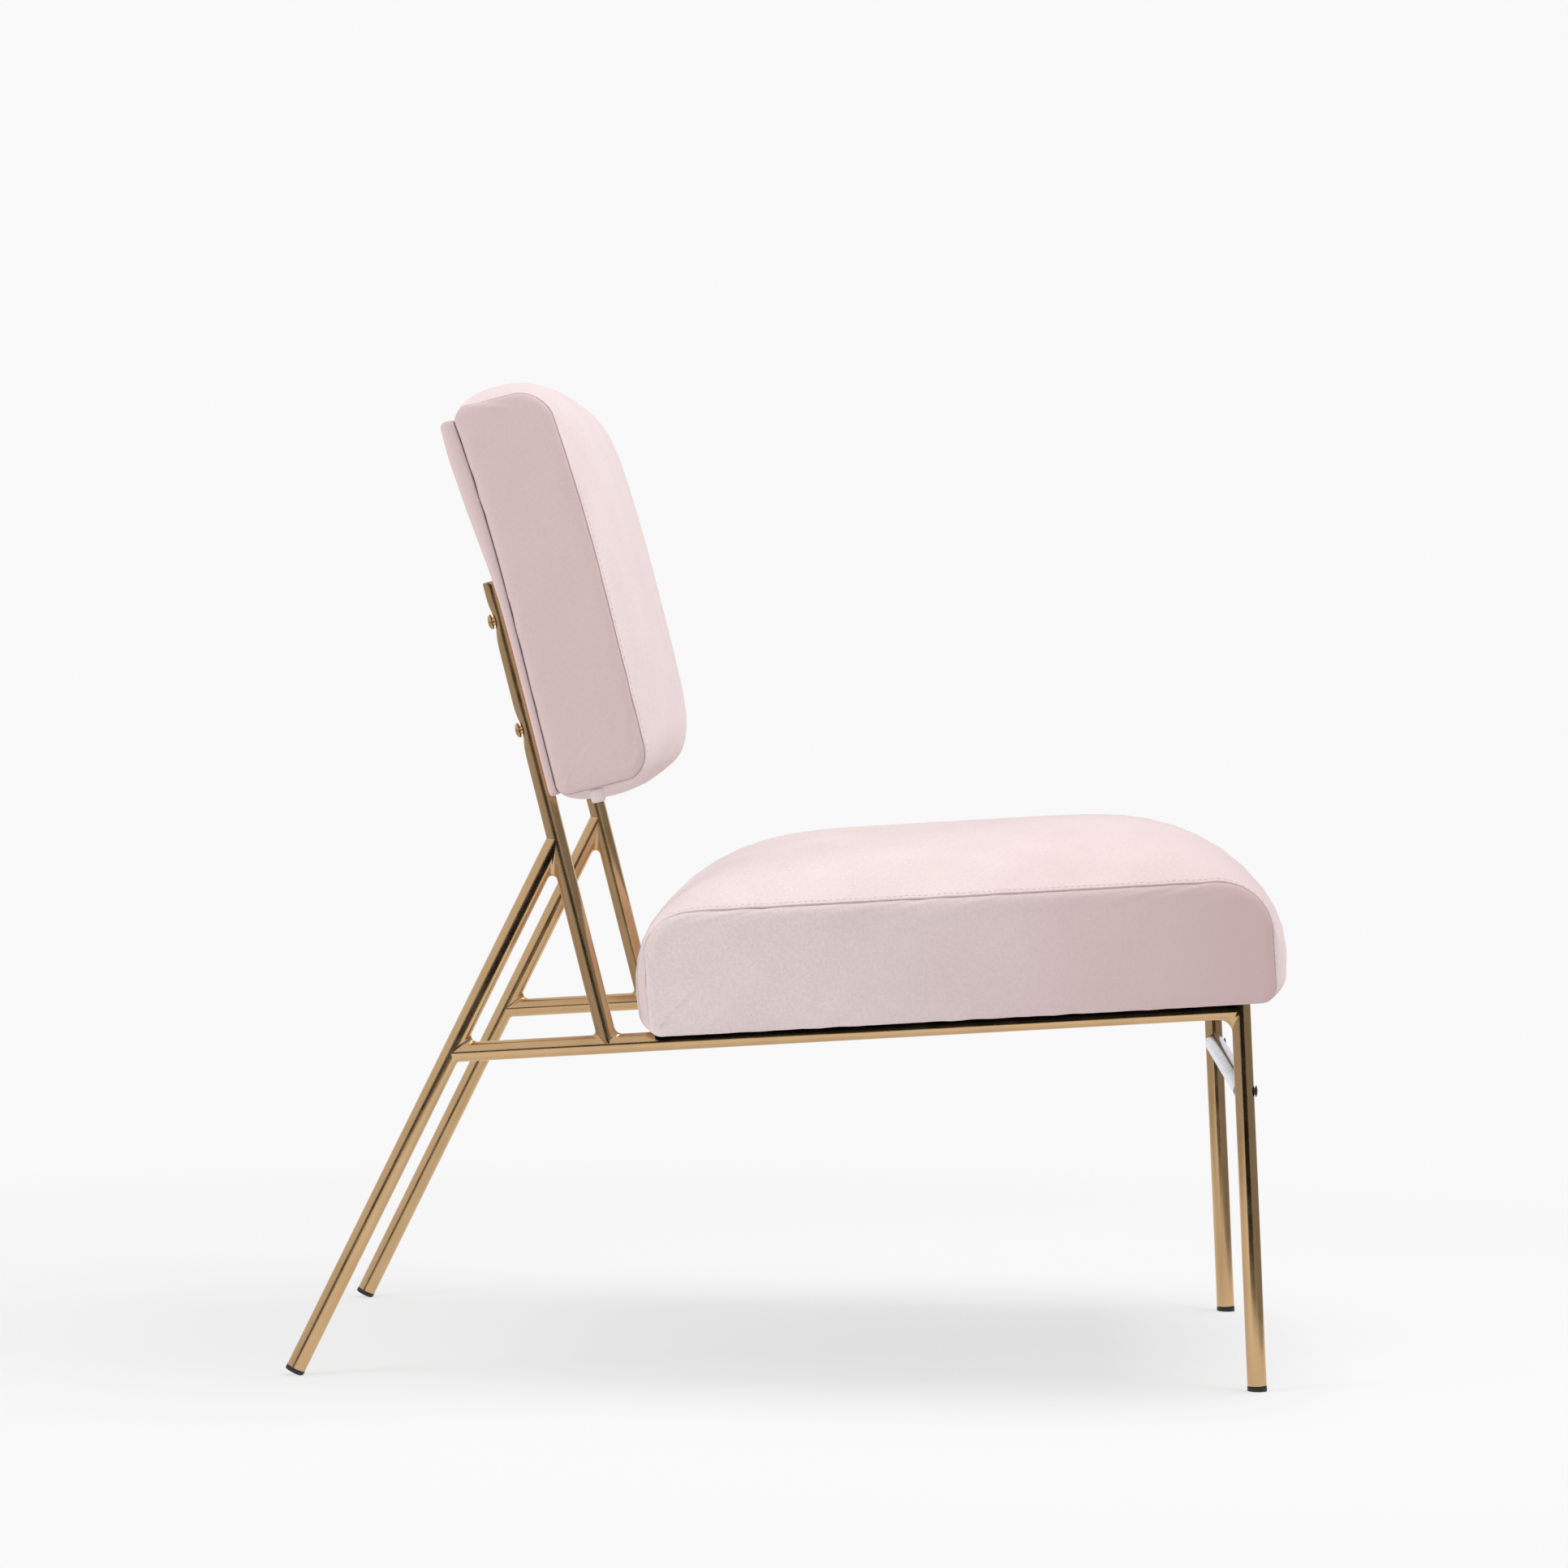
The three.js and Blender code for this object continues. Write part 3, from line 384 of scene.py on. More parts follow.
# ---------------------------------------------------------------- brass tubes and welds

def tube_rows(start, end, rounding=0.0, spacing=6 * MM):
    """Loops of a tube's surface, closed at both ends, from start to end."""
    length = np.linalg.norm(end - start)
    steps = max(int(length / spacing), 2)
    walls = [(TUBE_RADIUS, mix(rounding, length - rounding, step / steps)) for step in range(steps + 1)]
    profile = [(CENTRE_RADIUS, 0), (TUBE_RADIUS - 2 * MM, 0)]
    profile += lip(TUBE_RADIUS, 0, rounding, -1)[:-1] if rounding else []
    profile += walls
    profile += lip(TUBE_RADIUS, length, rounding, 1)[1:] if rounding else []
    profile += [(TUBE_RADIUS - 2 * MM, length), (CENTRE_RADIUS, length)]
    return turned_rows(start, unit(end - start), profile)


def dimpled(rows):
    """The upright's rear face is pressed in a little round each back bolt."""
    reach = 11 * MM
    forward = squarely_up(UPRIGHT_LINE[1])
    offset = rows - UPRIGHT_LINE[0]
    along = offset @ UPRIGHT_LINE[1]
    ahead = offset @ forward
    rearness = np.clip(-ahead / TUBE_RADIUS, 0, 1) ** 1.5
    push = sum(np.exp(-((along - bolt) / reach) ** 2) for bolt in BACK_BOLTS) * DIMPLE_DEPTH * rearness
    return rows + push[..., None] * forward


def away_from(axis, vector):
    return vector - axis * np.dot(vector, axis)


def touching_both(outward, distance, branch, main):
    """The point at one distance from both tubes' axes, on the given side of the branch."""
    start = outward * distance
    start_away, branch_away = away_from(main, start), away_from(main, branch)
    slope = np.dot(start_away, branch_away)
    reach = np.dot(branch_away, branch_away)
    shortfall = np.dot(start_away, start_away) - distance * distance
    return start + branch * (math.sqrt(max(slope * slope - reach * shortfall, 0)) - slope) / reach


def fillet_rows(joint, branch, main, wide, narrow, wide_side):
    """Loops of a weld fillet where a branch tube butts against a main tube. At each angle round the
    branch a ball touches both tubes, and the fillet's face is the arc between the two touches."""
    turn_steps, arc_steps, buried = 96, 12, 1.2 * MM
    across = np.array([1.0, 0, 0])
    rows = []
    for turn in np.arange(turn_steps) * 2 * math.pi / turn_steps:
        outward = wide_side * math.cos(turn) + across * math.sin(turn)
        ball = (wide + narrow + (wide - narrow) * math.cos(turn)) / 2
        centre = touching_both(outward, TUBE_RADIUS + ball, branch, main)
        from_main = unit(away_from(main, centre))
        arc = []
        for share in np.linspace(0, 1, arc_steps + 1):
            inward = unit(mix(outward, from_main, share))
            arc.append(centre - inward * (ball - 0.02 * MM))
        corner = touching_both(outward, TUBE_RADIUS - buried, branch, main)
        near_branch = arc[0] - outward * buried
        near_main = arc[-1] - from_main * buried
        rows.append([joint + p for p in [near_branch, *arc, near_main, corner]])
    return np.array(rows)


RAIL_RADIANS = math.radians(RAIL[2])
RAIL_UP = np.array([0, math.sin(RAIL_RADIANS), math.cos(RAIL_RADIANS)])


def ground_flush(rows):
    """The front weld is ground level with the top of the rail, under the seat."""
    up = (rows - RAIL_AT_FRONT) @ RAIL_UP
    return rows - np.maximum(up - (TUBE_RADIUS - 0.05 * MM), 0)[..., None] * RAIL_UP


def frame_pieces():
    """Name, whether the loops form a ring, and the loops, of each tube and weld of one side frame."""
    rear_leg = tube_rows(REAR_FOOT + REAR_LEG_LINE[1] * FOOT_THICKNESS, FORK)
    front_leg_top = RAIL_AT_FRONT + FRONT_LEG_LINE[1] * (TUBE_RADIUS - 0.6 * MM)
    front_leg_end = FRONT_FOOT + FRONT_LEG_LINE[1] * (FOOT_THICKNESS + FRONT_FOOT_EXTRA)
    front_leg = tube_rows(front_leg_end, front_leg_top, 1 * MM)
    upright = tube_rows(RAIL_AT_UPRIGHT, on_line(UPRIGHT_LINE, UPRIGHT_LENGTH), 0.9 * MM, 2 * MM)
    rail = tube_rows(RAIL_AT_REAR, RAIL_AT_FRONT)
    return {
        "rear_leg": (False, rear_leg, ["rear_leg"]),
        "side_rail": (False, rail, ["side_rail"]),
        "upright": (False, dimpled(upright), ["upright", "upright_cap"]),
        "front_leg": (False, front_leg, ["front_leg"]),
        "rear_weld": (True, fillet_rows(
            RAIL_AT_REAR, RAIL_LINE[1], REAR_LEG_LINE[1], 5 * MM, 3 * MM, -squarely_up(RAIL_LINE[1])),
            ["rear_weld"]),
        "upright_weld": (True, fillet_rows(
            RAIL_AT_UPRIGHT, UPRIGHT_LINE[1], RAIL_LINE[1], 7 * MM, 3.5 * MM, squarely_up(UPRIGHT_LINE[1])),
            ["upright_weld"]),
        "fork_weld": (True, fillet_rows(
            FORK, -REAR_LEG_LINE[1], UPRIGHT_LINE[1], 4 * MM, 3 * MM, squarely_up(REAR_LEG_LINE[1])),
            ["fork_weld"]),
        "front_weld": (True, ground_flush(fillet_rows(
            RAIL_AT_FRONT, -RAIL_LINE[1], FRONT_LEG_LINE[1], 11 * MM, 4 * MM, squarely_up(RAIL_LINE[1]))),
            ["front_weld"]),
    }


def foot_cap(name, side, end, direction, thickness):
    """A moulded cap over the tube's end, worn flat where it stands on the floor."""
    profile = [(CENTRE_RADIUS, 0), *lip(TUBE_RADIUS + 0.15 * MM, 0, 0.8 * MM, -1),
               *lip(TUBE_RADIUS + 0.15 * MM, thickness, 0.4 * MM, 1), (CENTRE_RADIUS, thickness)]
    rows = turned_rows(end, direction, profile)
    rows[..., 2] = np.maximum(rows[..., 2], 0)
    rows[..., 0] += side * FRAME_HALF_WIDTH
    mesh_piece(f"{name}_cap", *skin(rows), RUBBER, [name], "black_cap")


def make_side_frames():
    for side_name, side in SIDES.items():
        for part, (ring, rows, nodes) in frame_pieces().items():
            placed = rows + np.array([side * FRAME_HALF_WIDTH, 0, 0])
            names = [f"{side_name}_{node}" for node in nodes]
            mesh_piece(f"{side_name}_{part}_brass", *skin(placed, ring), BRASS, names, "brass_plate")
        foot_cap(f"{side_name}_rear_foot", side, REAR_FOOT, REAR_LEG_LINE[1], FOOT_THICKNESS)
        foot_cap(f"{side_name}_front_foot", side, FRONT_FOOT, FRONT_LEG_LINE[1],
                 FOOT_THICKNESS + FRONT_FOOT_EXTRA)


# ---------------------------------------------------------------- spreader and fasteners

def make_spreader():
    """A tube across the front legs whose ends are shaped to fit round them."""
    length = 2 * (FRAME_HALF_WIDTH - SPREADER_SET_BACK)
    start = SPREADER_POINT - np.array([length / 2, 0, 0])
    steps = 60
    walls = [(SPREADER_RADIUS, length * step / steps) for step in range(steps + 1)]
    profile = [(SPREADER_RADIUS - 1.6 * MM, 0), *walls, (SPREADER_RADIUS - 1.6 * MM, length)]
    rows = turned_rows(start, np.array([1.0, 0, 0]), profile)
    fit = TUBE_RADIUS + 0.3 * MM
    ahead = rows[..., 1] - SPREADER_POINT[1]
    cope = np.sqrt(np.maximum(fit * fit - ahead * ahead, SPREADER_SET_BACK ** 2))
    limit = FRAME_HALF_WIDTH - cope
    rows[..., 0] = np.clip(rows[..., 0], -limit, limit)
    mesh_piece("front_spreader_tube", *skin(rows), NICKEL, ["front_spreader"], "spreader_nickel")


def dome_bolt(name, seat, outward, head, height, neck, neck_length, material, slot):
    """A button head on a short neck. Seat is the point on the axis where the neck begins."""
    steps, bury, waist = 8, 4 * MM, 0.3
    profile = [(CENTRE_RADIUS, -bury), (neck, -bury), (neck, neck_length)]
    for step in range(steps + 1):
        angle = math.pi / 2 * step / steps
        rise = waist * height * (1 - math.cos(angle))
        profile.append((mix(neck, head, math.sin(angle)), neck_length + rise))
    for step in range(1, steps + 1):
        angle = math.pi / 2 * step / steps
        profile.append((max(head * math.cos(angle), CENTRE_RADIUS),
                        neck_length + height * (waist + (1 - waist) * math.sin(angle))))
    rows = turned_rows(seat, outward, profile, 40)
    mesh_piece(f"{name}_head", *skin(rows), material, [name], slot)


def make_fasteners():
    rearward = -squarely_up(UPRIGHT_LINE[1])
    for side_name, side in SIDES.items():
        across = np.array([side * FRAME_HALF_WIDTH, 0, 0])
        for level, along in zip(("lower", "upper"), BACK_BOLTS):
            seat = across + on_line(UPRIGHT_LINE, along) + rearward * (TUBE_RADIUS - DIMPLE_DEPTH)
            dome_bolt(f"{side_name}_{level}_back_bolt", seat, rearward, 6.4 * MM, 4.4 * MM, 3.6 * MM,
                      1.5 * MM, BRASS, "brass_plate")
        seat = across + SPREADER_POINT + np.array([0, -TUBE_RADIUS, 0])
        dome_bolt(f"{side_name}_spreader_bolt", seat, np.array([0, -1.0, 0]), 4.8 * MM, 2 * MM, 3 * MM,
                  0.7 * MM, DARK_STEEL, "dark_steel")
        inboard = side * (FRAME_HALF_WIDTH - SEAT_SCREW_INBOARD)
        for end, along in zip(("rear", "front"), SEAT_SCREWS):
            seat = seat_places(inboard, np.array([along]), np.array([TAB_UNDERSIDE]))[0]
            dome_bolt(f"{side_name}_{end}_seat_screw", seat, -RAIL_UP, 6.5 * MM, 3.6 * MM, 4 * MM,
                      0.6 * MM, DARK_STEEL, "dark_steel")


# ---------------------------------------------------------------- upholstery sections

def seat_places(x, forward, up):
    """Points of the seat from places along the rail and up from its axis."""
    cosine, sine = math.cos(RAIL_RADIANS), math.sin(RAIL_RADIANS)
    y = REAR_FEET_BACK - forward * cosine + up * sine
    z = RAIL[1] + forward * sine + up * cosine
    return np.stack([np.broadcast_to(x, y.shape), y, z], axis=-1)


LEAN = math.radians(UPRIGHT[2] - 90)


def back_places(x, up, forward):
    """Points of the backrest from places up the upright and forward of its axis, with its bend."""
    start, end, depth = BACK_BEND
    bend = depth * (np.maximum(up - start, 0) / (end - start)) ** 2
    rear = bend - forward
    y = REAR_FEET_BACK - UPRIGHT[0] + rear * math.cos(LEAN) + up * math.sin(LEAN)
    z = UPRIGHT[1] - rear * math.sin(LEAN) + up * math.cos(LEAN)
    return np.stack([np.broadcast_to(x, y.shape), y, z], axis=-1)


def outline(box, corners, edge_steps):
    """A closed loop of (a, b) pairs round a box with quarter-ellipse corners, anticlockwise from the
    low a, low b corner. A corner is (radius along a, radius along b)."""
    low_a, high_a, low_b, high_b = box
    centres = ((low_a + corners[0][0], low_b + corners[0][1]),
               (high_a - corners[1][0], low_b + corners[1][1]),
               (high_a - corners[2][0], high_b - corners[2][1]),
               (low_a + corners[3][0], high_b - corners[3][1]))
    rounds = []
    for index, centre in enumerate(centres):
        angles = math.pi * (1 + index / 2) + np.linspace(0, math.pi / 2, CORNER_STEPS + 1)
        rounds.append(np.stack([centre[0] + corners[index][0] * np.cos(angles),
                                centre[1] + corners[index][1] * np.sin(angles)], axis=-1))
    loop = []
    for index, corner in enumerate(rounds):
        following = rounds[(index + 1) % 4][0]
        shares = np.arange(1, edge_steps[index]) / edge_steps[index]
        loop += [corner, mix(corner[-1], following, shares[:, None])]
    return np.concatenate(loop)


def swell(across):
    """How far a cushion has swollen across its width, from 0 at an end panel to 1."""
    return (1 - np.abs(across) ** 2.4) ** 0.75


def padded_section(end, crown, end_corners, crown_corners, edge_steps, share, inset):
    """One outline of a cushion. Its low b side, where it rests, levels off sooner than the others."""
    box = mix(end, crown, share)
    box[2] = mix(end[2], crown[2], min(share / REST_SHARE, 1))
    box = box + inset * np.array([1, -1, 1, -1])
    corners = np.maximum(mix(end_corners, crown_corners, share) - inset, 0.5 * MM)
    return outline(box, corners, edge_steps)


SEAT_SHAPE = (SEAT_END, SEAT_CROWN, SEAT_END_CORNERS, SEAT_CROWN_CORNERS, SEAT_EDGE_STEPS)
BACK_SHAPE = (BACK_END, BACK_CROWN, BACK_END_CORNERS, BACK_CROWN_CORNERS, BACK_EDGE_STEPS)

REST_SHARE = 0.3

# Distances of the loops from the end seam, on the end panel and along the wrapped cover
PANEL_LOOPS = np.array([0.35, 0.8, 1.4, 2.2, 3.2, 4.4, 5.8, 7.6, 9.8, 13, 18, 25]) * MM
WRAP_LOOPS = np.array([0.5, 1.1, 1.8, 2.6, 3.0, 3.4, 4.2, 5.4, 7.5, 10.5, 14, 18, 23, 29, 36, 43]) * MM
SEAM_DEPTH = 1.6 * MM
# How far from the end seam the painted seam shade reaches
SEAM_SHADE = 0.7 * MM
TUCK = 5 * MM  # how far an end panel's edge is drawn in, over a quarter ellipse
TUCK_REACH = 10 * MM
STITCH_LOOP = 4  # index in WRAP_LOOPS of the seat's line of topstitching
BACK_STITCH_LOOP = 7


def round_the_loop(edge_steps, values):
    """A value for each point of an outline, from one for each corner and edge in order."""
    lengths = []
    for steps in edge_steps:
        lengths += [CORNER_STEPS + 1, steps - 1]
    each = np.repeat(values, lengths)
    return sum(np.roll(each, shift) for shift in range(-4, 5)) / 9


def cushion_layout(shape, half_width, panel_depth, seam):
    """Loops of a cushion from one end panel's middle to the other's, as (x, outline, distance from
    the end seam, whether it is on an end panel)."""
    seam_x = half_width - TUCK
    panel_steps = [*PANEL_LOOPS, *np.arange(32 * MM, panel_depth, 7 * MM), panel_depth]
    middle = np.arange(50 * MM, seam_x, 7 * MM)
    wrap_steps = [*WRAP_LOOPS, *middle]
    loops = []
    for distance in panel_steps[::-1]:
        short = 1 - min(distance / TUCK_REACH, 1)
        x = half_width - TUCK * (1 - math.sqrt(1 - short * short))
        loops.append((x, padded_section(*shape, 0, distance), distance, True))
    flush, sunk = padded_section(*shape, 0, 0), padded_section(*shape, 0, SEAM_DEPTH)
    loops.append((seam_x - 0.4 * MM, mix(flush, sunk, seam[:, None]), 0, False))
    for distance in wrap_steps:
        share = swell(1 - distance / seam_x)
        loops.append((seam_x - distance, padded_section(*shape, share, 0), distance, False))
    mirrored = [(-x, pairs, distance, on_panel) for x, pairs, distance, on_panel in loops[::-1]]
    return loops + [(0, padded_section(*shape, 1, 0), seam_x, False)] + mirrored


def place_layout(layout, place):
    return np.array([place(x, pairs[:, 0], pairs[:, 1]) for x, pairs, _, _ in layout])


# ---------------------------------------------------------------- cloth simulation

SIM_VOXEL = 6 * MM
SIM_PRESSURE = 4
SIM_FRAMES = 20


def simulated_shift(rows, held, limit):
    """How far each point of a cushion moves when its cover is blown up from inside. The cover is
    pinned where held(points) is true, and no point moves further than limit."""
    points, faces = skin(rows)
    mesh = bpy.data.meshes.new("inflating")
    mesh.from_pydata(points.tolist(), [], faces)
    piece = bpy.data.objects.new("inflating", mesh)
    bpy.context.scene.collection.objects.link(piece)
    bpy.context.view_layer.objects.active = piece
    piece.select_set(True)
    remesh = piece.modifiers.new("remesh", "REMESH")
    remesh.mode = "VOXEL"
    remesh.voxel_size = SIM_VOXEL
    bpy.ops.object.modifier_apply(modifier="remesh")
    start = np.array([v.co for v in piece.data.vertices])
    pins = piece.vertex_groups.new(name="held")
    pins.add(np.flatnonzero(held(start)).tolist(), 1.0, "REPLACE")
    cloth = piece.modifiers.new("cloth", "CLOTH")
    cloth.settings.use_pressure = True
    cloth.settings.uniform_pressure_force = SIM_PRESSURE
    cloth.settings.vertex_group_mass = "held"
    cloth.settings.effector_weights.gravity = 0
    cloth.point_cache.frame_start = 1
    cloth.point_cache.frame_end = SIM_FRAMES
    for number in range(1, SIM_FRAMES + 1):
        bpy.context.scene.frame_set(number)
    shown = piece.evaluated_get(bpy.context.evaluated_depsgraph_get())
    shift = np.array([v.co for v in shown.data.vertices]) - start
    bpy.context.scene.frame_set(1)
    bpy.data.objects.remove(piece)
    far = np.linalg.norm(shift, axis=1, keepdims=True)
    shift = shift * (limit * np.tanh(far / limit) / np.maximum(far, 1e-9))
    return smoothed_at(points, start, shift)


def smoothed_at(points, known, values, nearest=10):
    """Values known at some points, averaged at others from the nearest few."""
    tree = kdtree.KDTree(len(known))
    for index, place in enumerate(known):
        tree.insert(place, index)
    tree.balance()
    result = np.zeros((len(points), 3))
    for index, place in enumerate(points):
        found = tree.find_n(place, nearest)
        weights = np.array([1 / (distance + 2 * MM) for _, _, distance in found])
        chosen = values[[number for _, number, _ in found]]
        result[index] = weights @ chosen / weights.sum()
    return result


# ---------------------------------------------------------------- cushions

def row_normals(rows):
    """Unit normals of a surface over closed loops, facing out of it."""
    along = np.gradient(rows, axis=0)
    around = np.roll(rows, -1, axis=1) - np.roll(rows, 1, axis=1)
    normals = np.cross(along, around)
    normals /= np.maximum(np.linalg.norm(normals, axis=-1, keepdims=True), 1e-12)
    middle = rows.mean(axis=(0, 1))
    if (normals * (rows - middle)).sum() < 0:
        normals = -normals
    return normals


def pucker(rows, distances, depth, wavelength, reach, seed):
    """Soft ripples square to the end seams, which die away from them."""
    normals = row_normals(rows)
    steps = np.linalg.norm(np.roll(rows, -1, axis=1) - rows, axis=-1)
    travel = np.cumsum(steps, axis=1)
    fade = np.exp(-((distances - 6 * MM) / reach) ** 2) * depth
    moved = rows.copy()
    for row in np.flatnonzero(fade > 0.02 * MM):
        for step in range(rows.shape[1]):
            at = Vector((travel[row, step] / wavelength, distances[row] / (3 * reach), seed))
            moved[row, step] += normals[row, step] * fade[row] * noise.noise(at)
    return moved


def paint(piece, layer, values):
    """Stores one value per point for the velvet material to read."""
    attribute = piece.data.attributes.new(layer, "FLOAT", "POINT")
    attribute.data.foreach_set("value", values.ravel().astype(np.float32))


# Where along the rail the seat's darker tone begins, and over how far it deepens to its fullest
SEAT_DARKENING_START = 330 * MM
SEAT_DARKENING_RUN = 450 * MM


def seat_darkening(rows, on_panel):
    """How much the velvet's tone is darkened: more towards the seat's front, and less on the wrapped cover.
    """
    forward = (REAR_FEET_BACK - rows[..., 1] - SEAT_DARKENING_START) / SEAT_DARKENING_RUN
    return np.clip(forward, 0, 1) ** 1.5 * np.where(on_panel, 1.0, 0.5)[:, None]


# How much the tone is darkened on the backrest's end panels and rear panel, and on its wrapped cover
BACK_PANEL_DARKENING = 0.7
BACK_WRAP_DARKENING = 0.2


def back_darkening(rows, on_panel):
    return np.where(on_panel, BACK_PANEL_DARKENING, BACK_WRAP_DARKENING)[:, None] * np.ones(rows.shape[:2])


def make_cushion(name, shape, half_width, panel_depth, seam_values, place, held, limit, tone_darkening, nodes):
    seam = round_the_loop(shape[-1], seam_values)
    layout = cushion_layout(shape, half_width, panel_depth, seam)
    rows = place_layout(layout, place)
    distances = np.array([distance for _, _, distance, _ in layout])
    shift = simulated_shift(rows, held, limit).reshape(rows.shape)
    seam_hold = 1 - np.exp(-(distances / (9 * MM)) ** 2)
    rows = rows + shift * seam_hold[:, None, None]
    rows = pucker(rows, distances, 0.9 * MM, 16 * MM, 16 * MM, len(name))
    piece = mesh_piece(name, *skin(rows), VELVET, nodes, "velvet")
    # Painted shade along each end seam, as dark as the seam values say, fading within about a millimetre of
    # it
    paint(piece, "painted_seam_shade", np.outer(np.exp(-(distances / SEAM_SHADE) ** 2), seam))
    # The velvet's tone darkened as much as the given function says
    paint(piece, "tone_darkening", tone_darkening(rows, np.array([on_panel for _, _, _, on_panel in layout])))
    return piece, rows, layout


def seat_up(points):
    """Height of points above the rail's axis, square to the rail."""
    return (points - side_point(*RAIL[:2])) @ RAIL_UP


def seat_held(points):
    under = seat_up(points) < SEAT_END[2] + 6 * MM
    seam = np.abs(points[:, 0]) > SEAT_HALF_WIDTH - 8 * MM
    return under | seam


BACK_AHEAD = np.array([0, -math.cos(LEAN), math.sin(LEAN)])


def back_held(points):
    ahead = (points - side_point(*UPRIGHT[:2])) @ BACK_AHEAD
    seam = np.abs(points[:, 0]) > BACK_HALF_WIDTH - 8 * MM
    return (ahead < BACK_END[2] + 2 * MM) | seam


# ---------------------------------------------------------------- stitching

THREAD_RADIUS = 0.28 * MM
STITCH_LENGTH = 3.6 * MM
STITCH_PITCH = 5.2 * MM


def along_path(path, places):
    steps = np.linalg.norm(np.diff(path, axis=0), axis=1)
    travel = np.concatenate([[0], np.cumsum(steps)])
    return np.stack([np.interp(places, travel, path[:, axis]) for axis in range(3)], axis=-1), travel[-1]


def stitch_rows(name, paths):
    """Dashes of thread laid on the cover along each path, in one piece."""
    sides = 6
    points, faces = [], []
    for path, lift in paths:
        _, total = along_path(path, np.array([0.0]))
        for start in np.arange(0, total - STITCH_LENGTH, STITCH_PITCH):
            places = start + STITCH_LENGTH * np.array([0, 0.25, 0.75, 1])
            spine, _ = along_path(path, places)
            raise_by = np.array([-0.45, 0.25, 0.25, -0.45]) * THREAD_RADIUS
            spine = spine + lift * raise_by[:, None]
            direction = unit(spine[-1] - spine[0])
            first = unit(np.cross(direction, lift))
            second = np.cross(direction, first)
            radii = THREAD_RADIUS * np.array([0.5, 1, 1, 0.5])
            base = len(points)
            for centre, radius in zip(spine, radii):
                for side in range(sides):
                    angle = 2 * math.pi * side / sides
                    points.append(centre + radius * (first * math.cos(angle) + second * math.sin(angle)))
            for ring in range(3):
                for side in range(sides):
                    after = (side + 1) % sides
                    here, there = base + ring * sides, base + (ring + 1) * sides
                    faces.append((here + side, here + after, there + after, there + side))
            faces.append([base + side for side in range(sides)])
            faces.append([base + 3 * sides + side for side in range(sides)])
    mesh_piece(name, points, faces, THREAD, slot="velvet")


def first_wrap_loop(layout):
    return next(index for index, (_, _, _, on_panel) in enumerate(layout) if not on_panel)


# ---------------------------------------------------------------- seat

# How deep the end seam is, and how dark its painted shade is, at each corner and edge in turn, from the low
# rear corner forwards
SEAT_SEAM = (0.1, 0.0, 0.15, 0.4, 0.3, 0.55, 0.15, 0.3)
BACK_SEAM = (0.3, 0.05, 0.05, 0.15, 0.3, 0.5, 0.6, 0.5)


def make_seat():
    piece, rows, layout = make_cushion(
        "seat_cushion", SEAT_SHAPE, SEAT_HALF_WIDTH, 50 * MM, SEAT_SEAM, seat_places, seat_held, 5 * MM,
        seat_darkening, ["seat_cover", "seat_foam"])
    stitch = first_wrap_loop(layout) + 1 + STITCH_LOOP
    # The part of the loop that runs up the rear, over the top and down to the front's low corner
    start = CORNER_STEPS + SEAT_EDGE_STEPS[0] + CORNER_STEPS + 4
    finish = rows.shape[1] - 2
    paths = [(rows[row, start:finish], RAIL_UP) for row in (stitch, rows.shape[0] - 1 - stitch)]
    stitch_rows("seat_topstitch", paths)
    return piece


def make_dust_cover():
    """A black cloth stretched over the seat's underside opening."""
    rear, front, half = SEAT_OPENING
    steps, margin, fade = 40, 1 * MM, 20 * MM
    across = np.linspace(-half + margin, half - margin, steps + 1)
    along = np.linspace(rear + margin, front - margin, steps + 1)
    level = SEAT_END[2] - 0.4 * MM
    points = []
    for forward in along:
        for x in across:
            ripple = 0.5 * MM * noise.noise(Vector((x * 18, forward * 12, 3)))
            edge = min(1.0, (half - abs(x)) / fade, (forward - rear) / fade, (front - forward) / fade)
            points.append(seat_places(x, np.array([forward]), np.array([level + ripple * edge]))[0])
    row = steps + 1
    faces = [(i * row + j, i * row + j + 1, (i + 1) * row + j + 1, (i + 1) * row + j)
             for i in range(steps) for j in range(steps)]
    piece = mesh_piece("dust_cover_cloth", points, faces, DUST_CLOTH, ["seat_dust_cover"], "dust_cloth")


# ---------------------------------------------------------------- backrest

def make_back():
    _, rows, layout = make_cushion(
        "back_cushion", BACK_SHAPE, BACK_HALF_WIDTH, 38.5 * MM, BACK_SEAM, back_places, back_held, 4.5 * MM,
        back_darkening, ["back_cover", "back_foam"])
    stitch = first_wrap_loop(layout) + 1 + BACK_STITCH_LOOP
    start = CORNER_STEPS + BACK_EDGE_STEPS[0] + CORNER_STEPS + BACK_EDGE_STEPS[1] + 2 * CORNER_STEPS
    finish = start + BACK_EDGE_STEPS[2] + CORNER_STEPS // 2
    paths = [(rows[row, start:finish], BACK_AHEAD) for row in (stitch, rows.shape[0] - 1 - stitch)]
    stitch_rows("back_topstitch", paths)


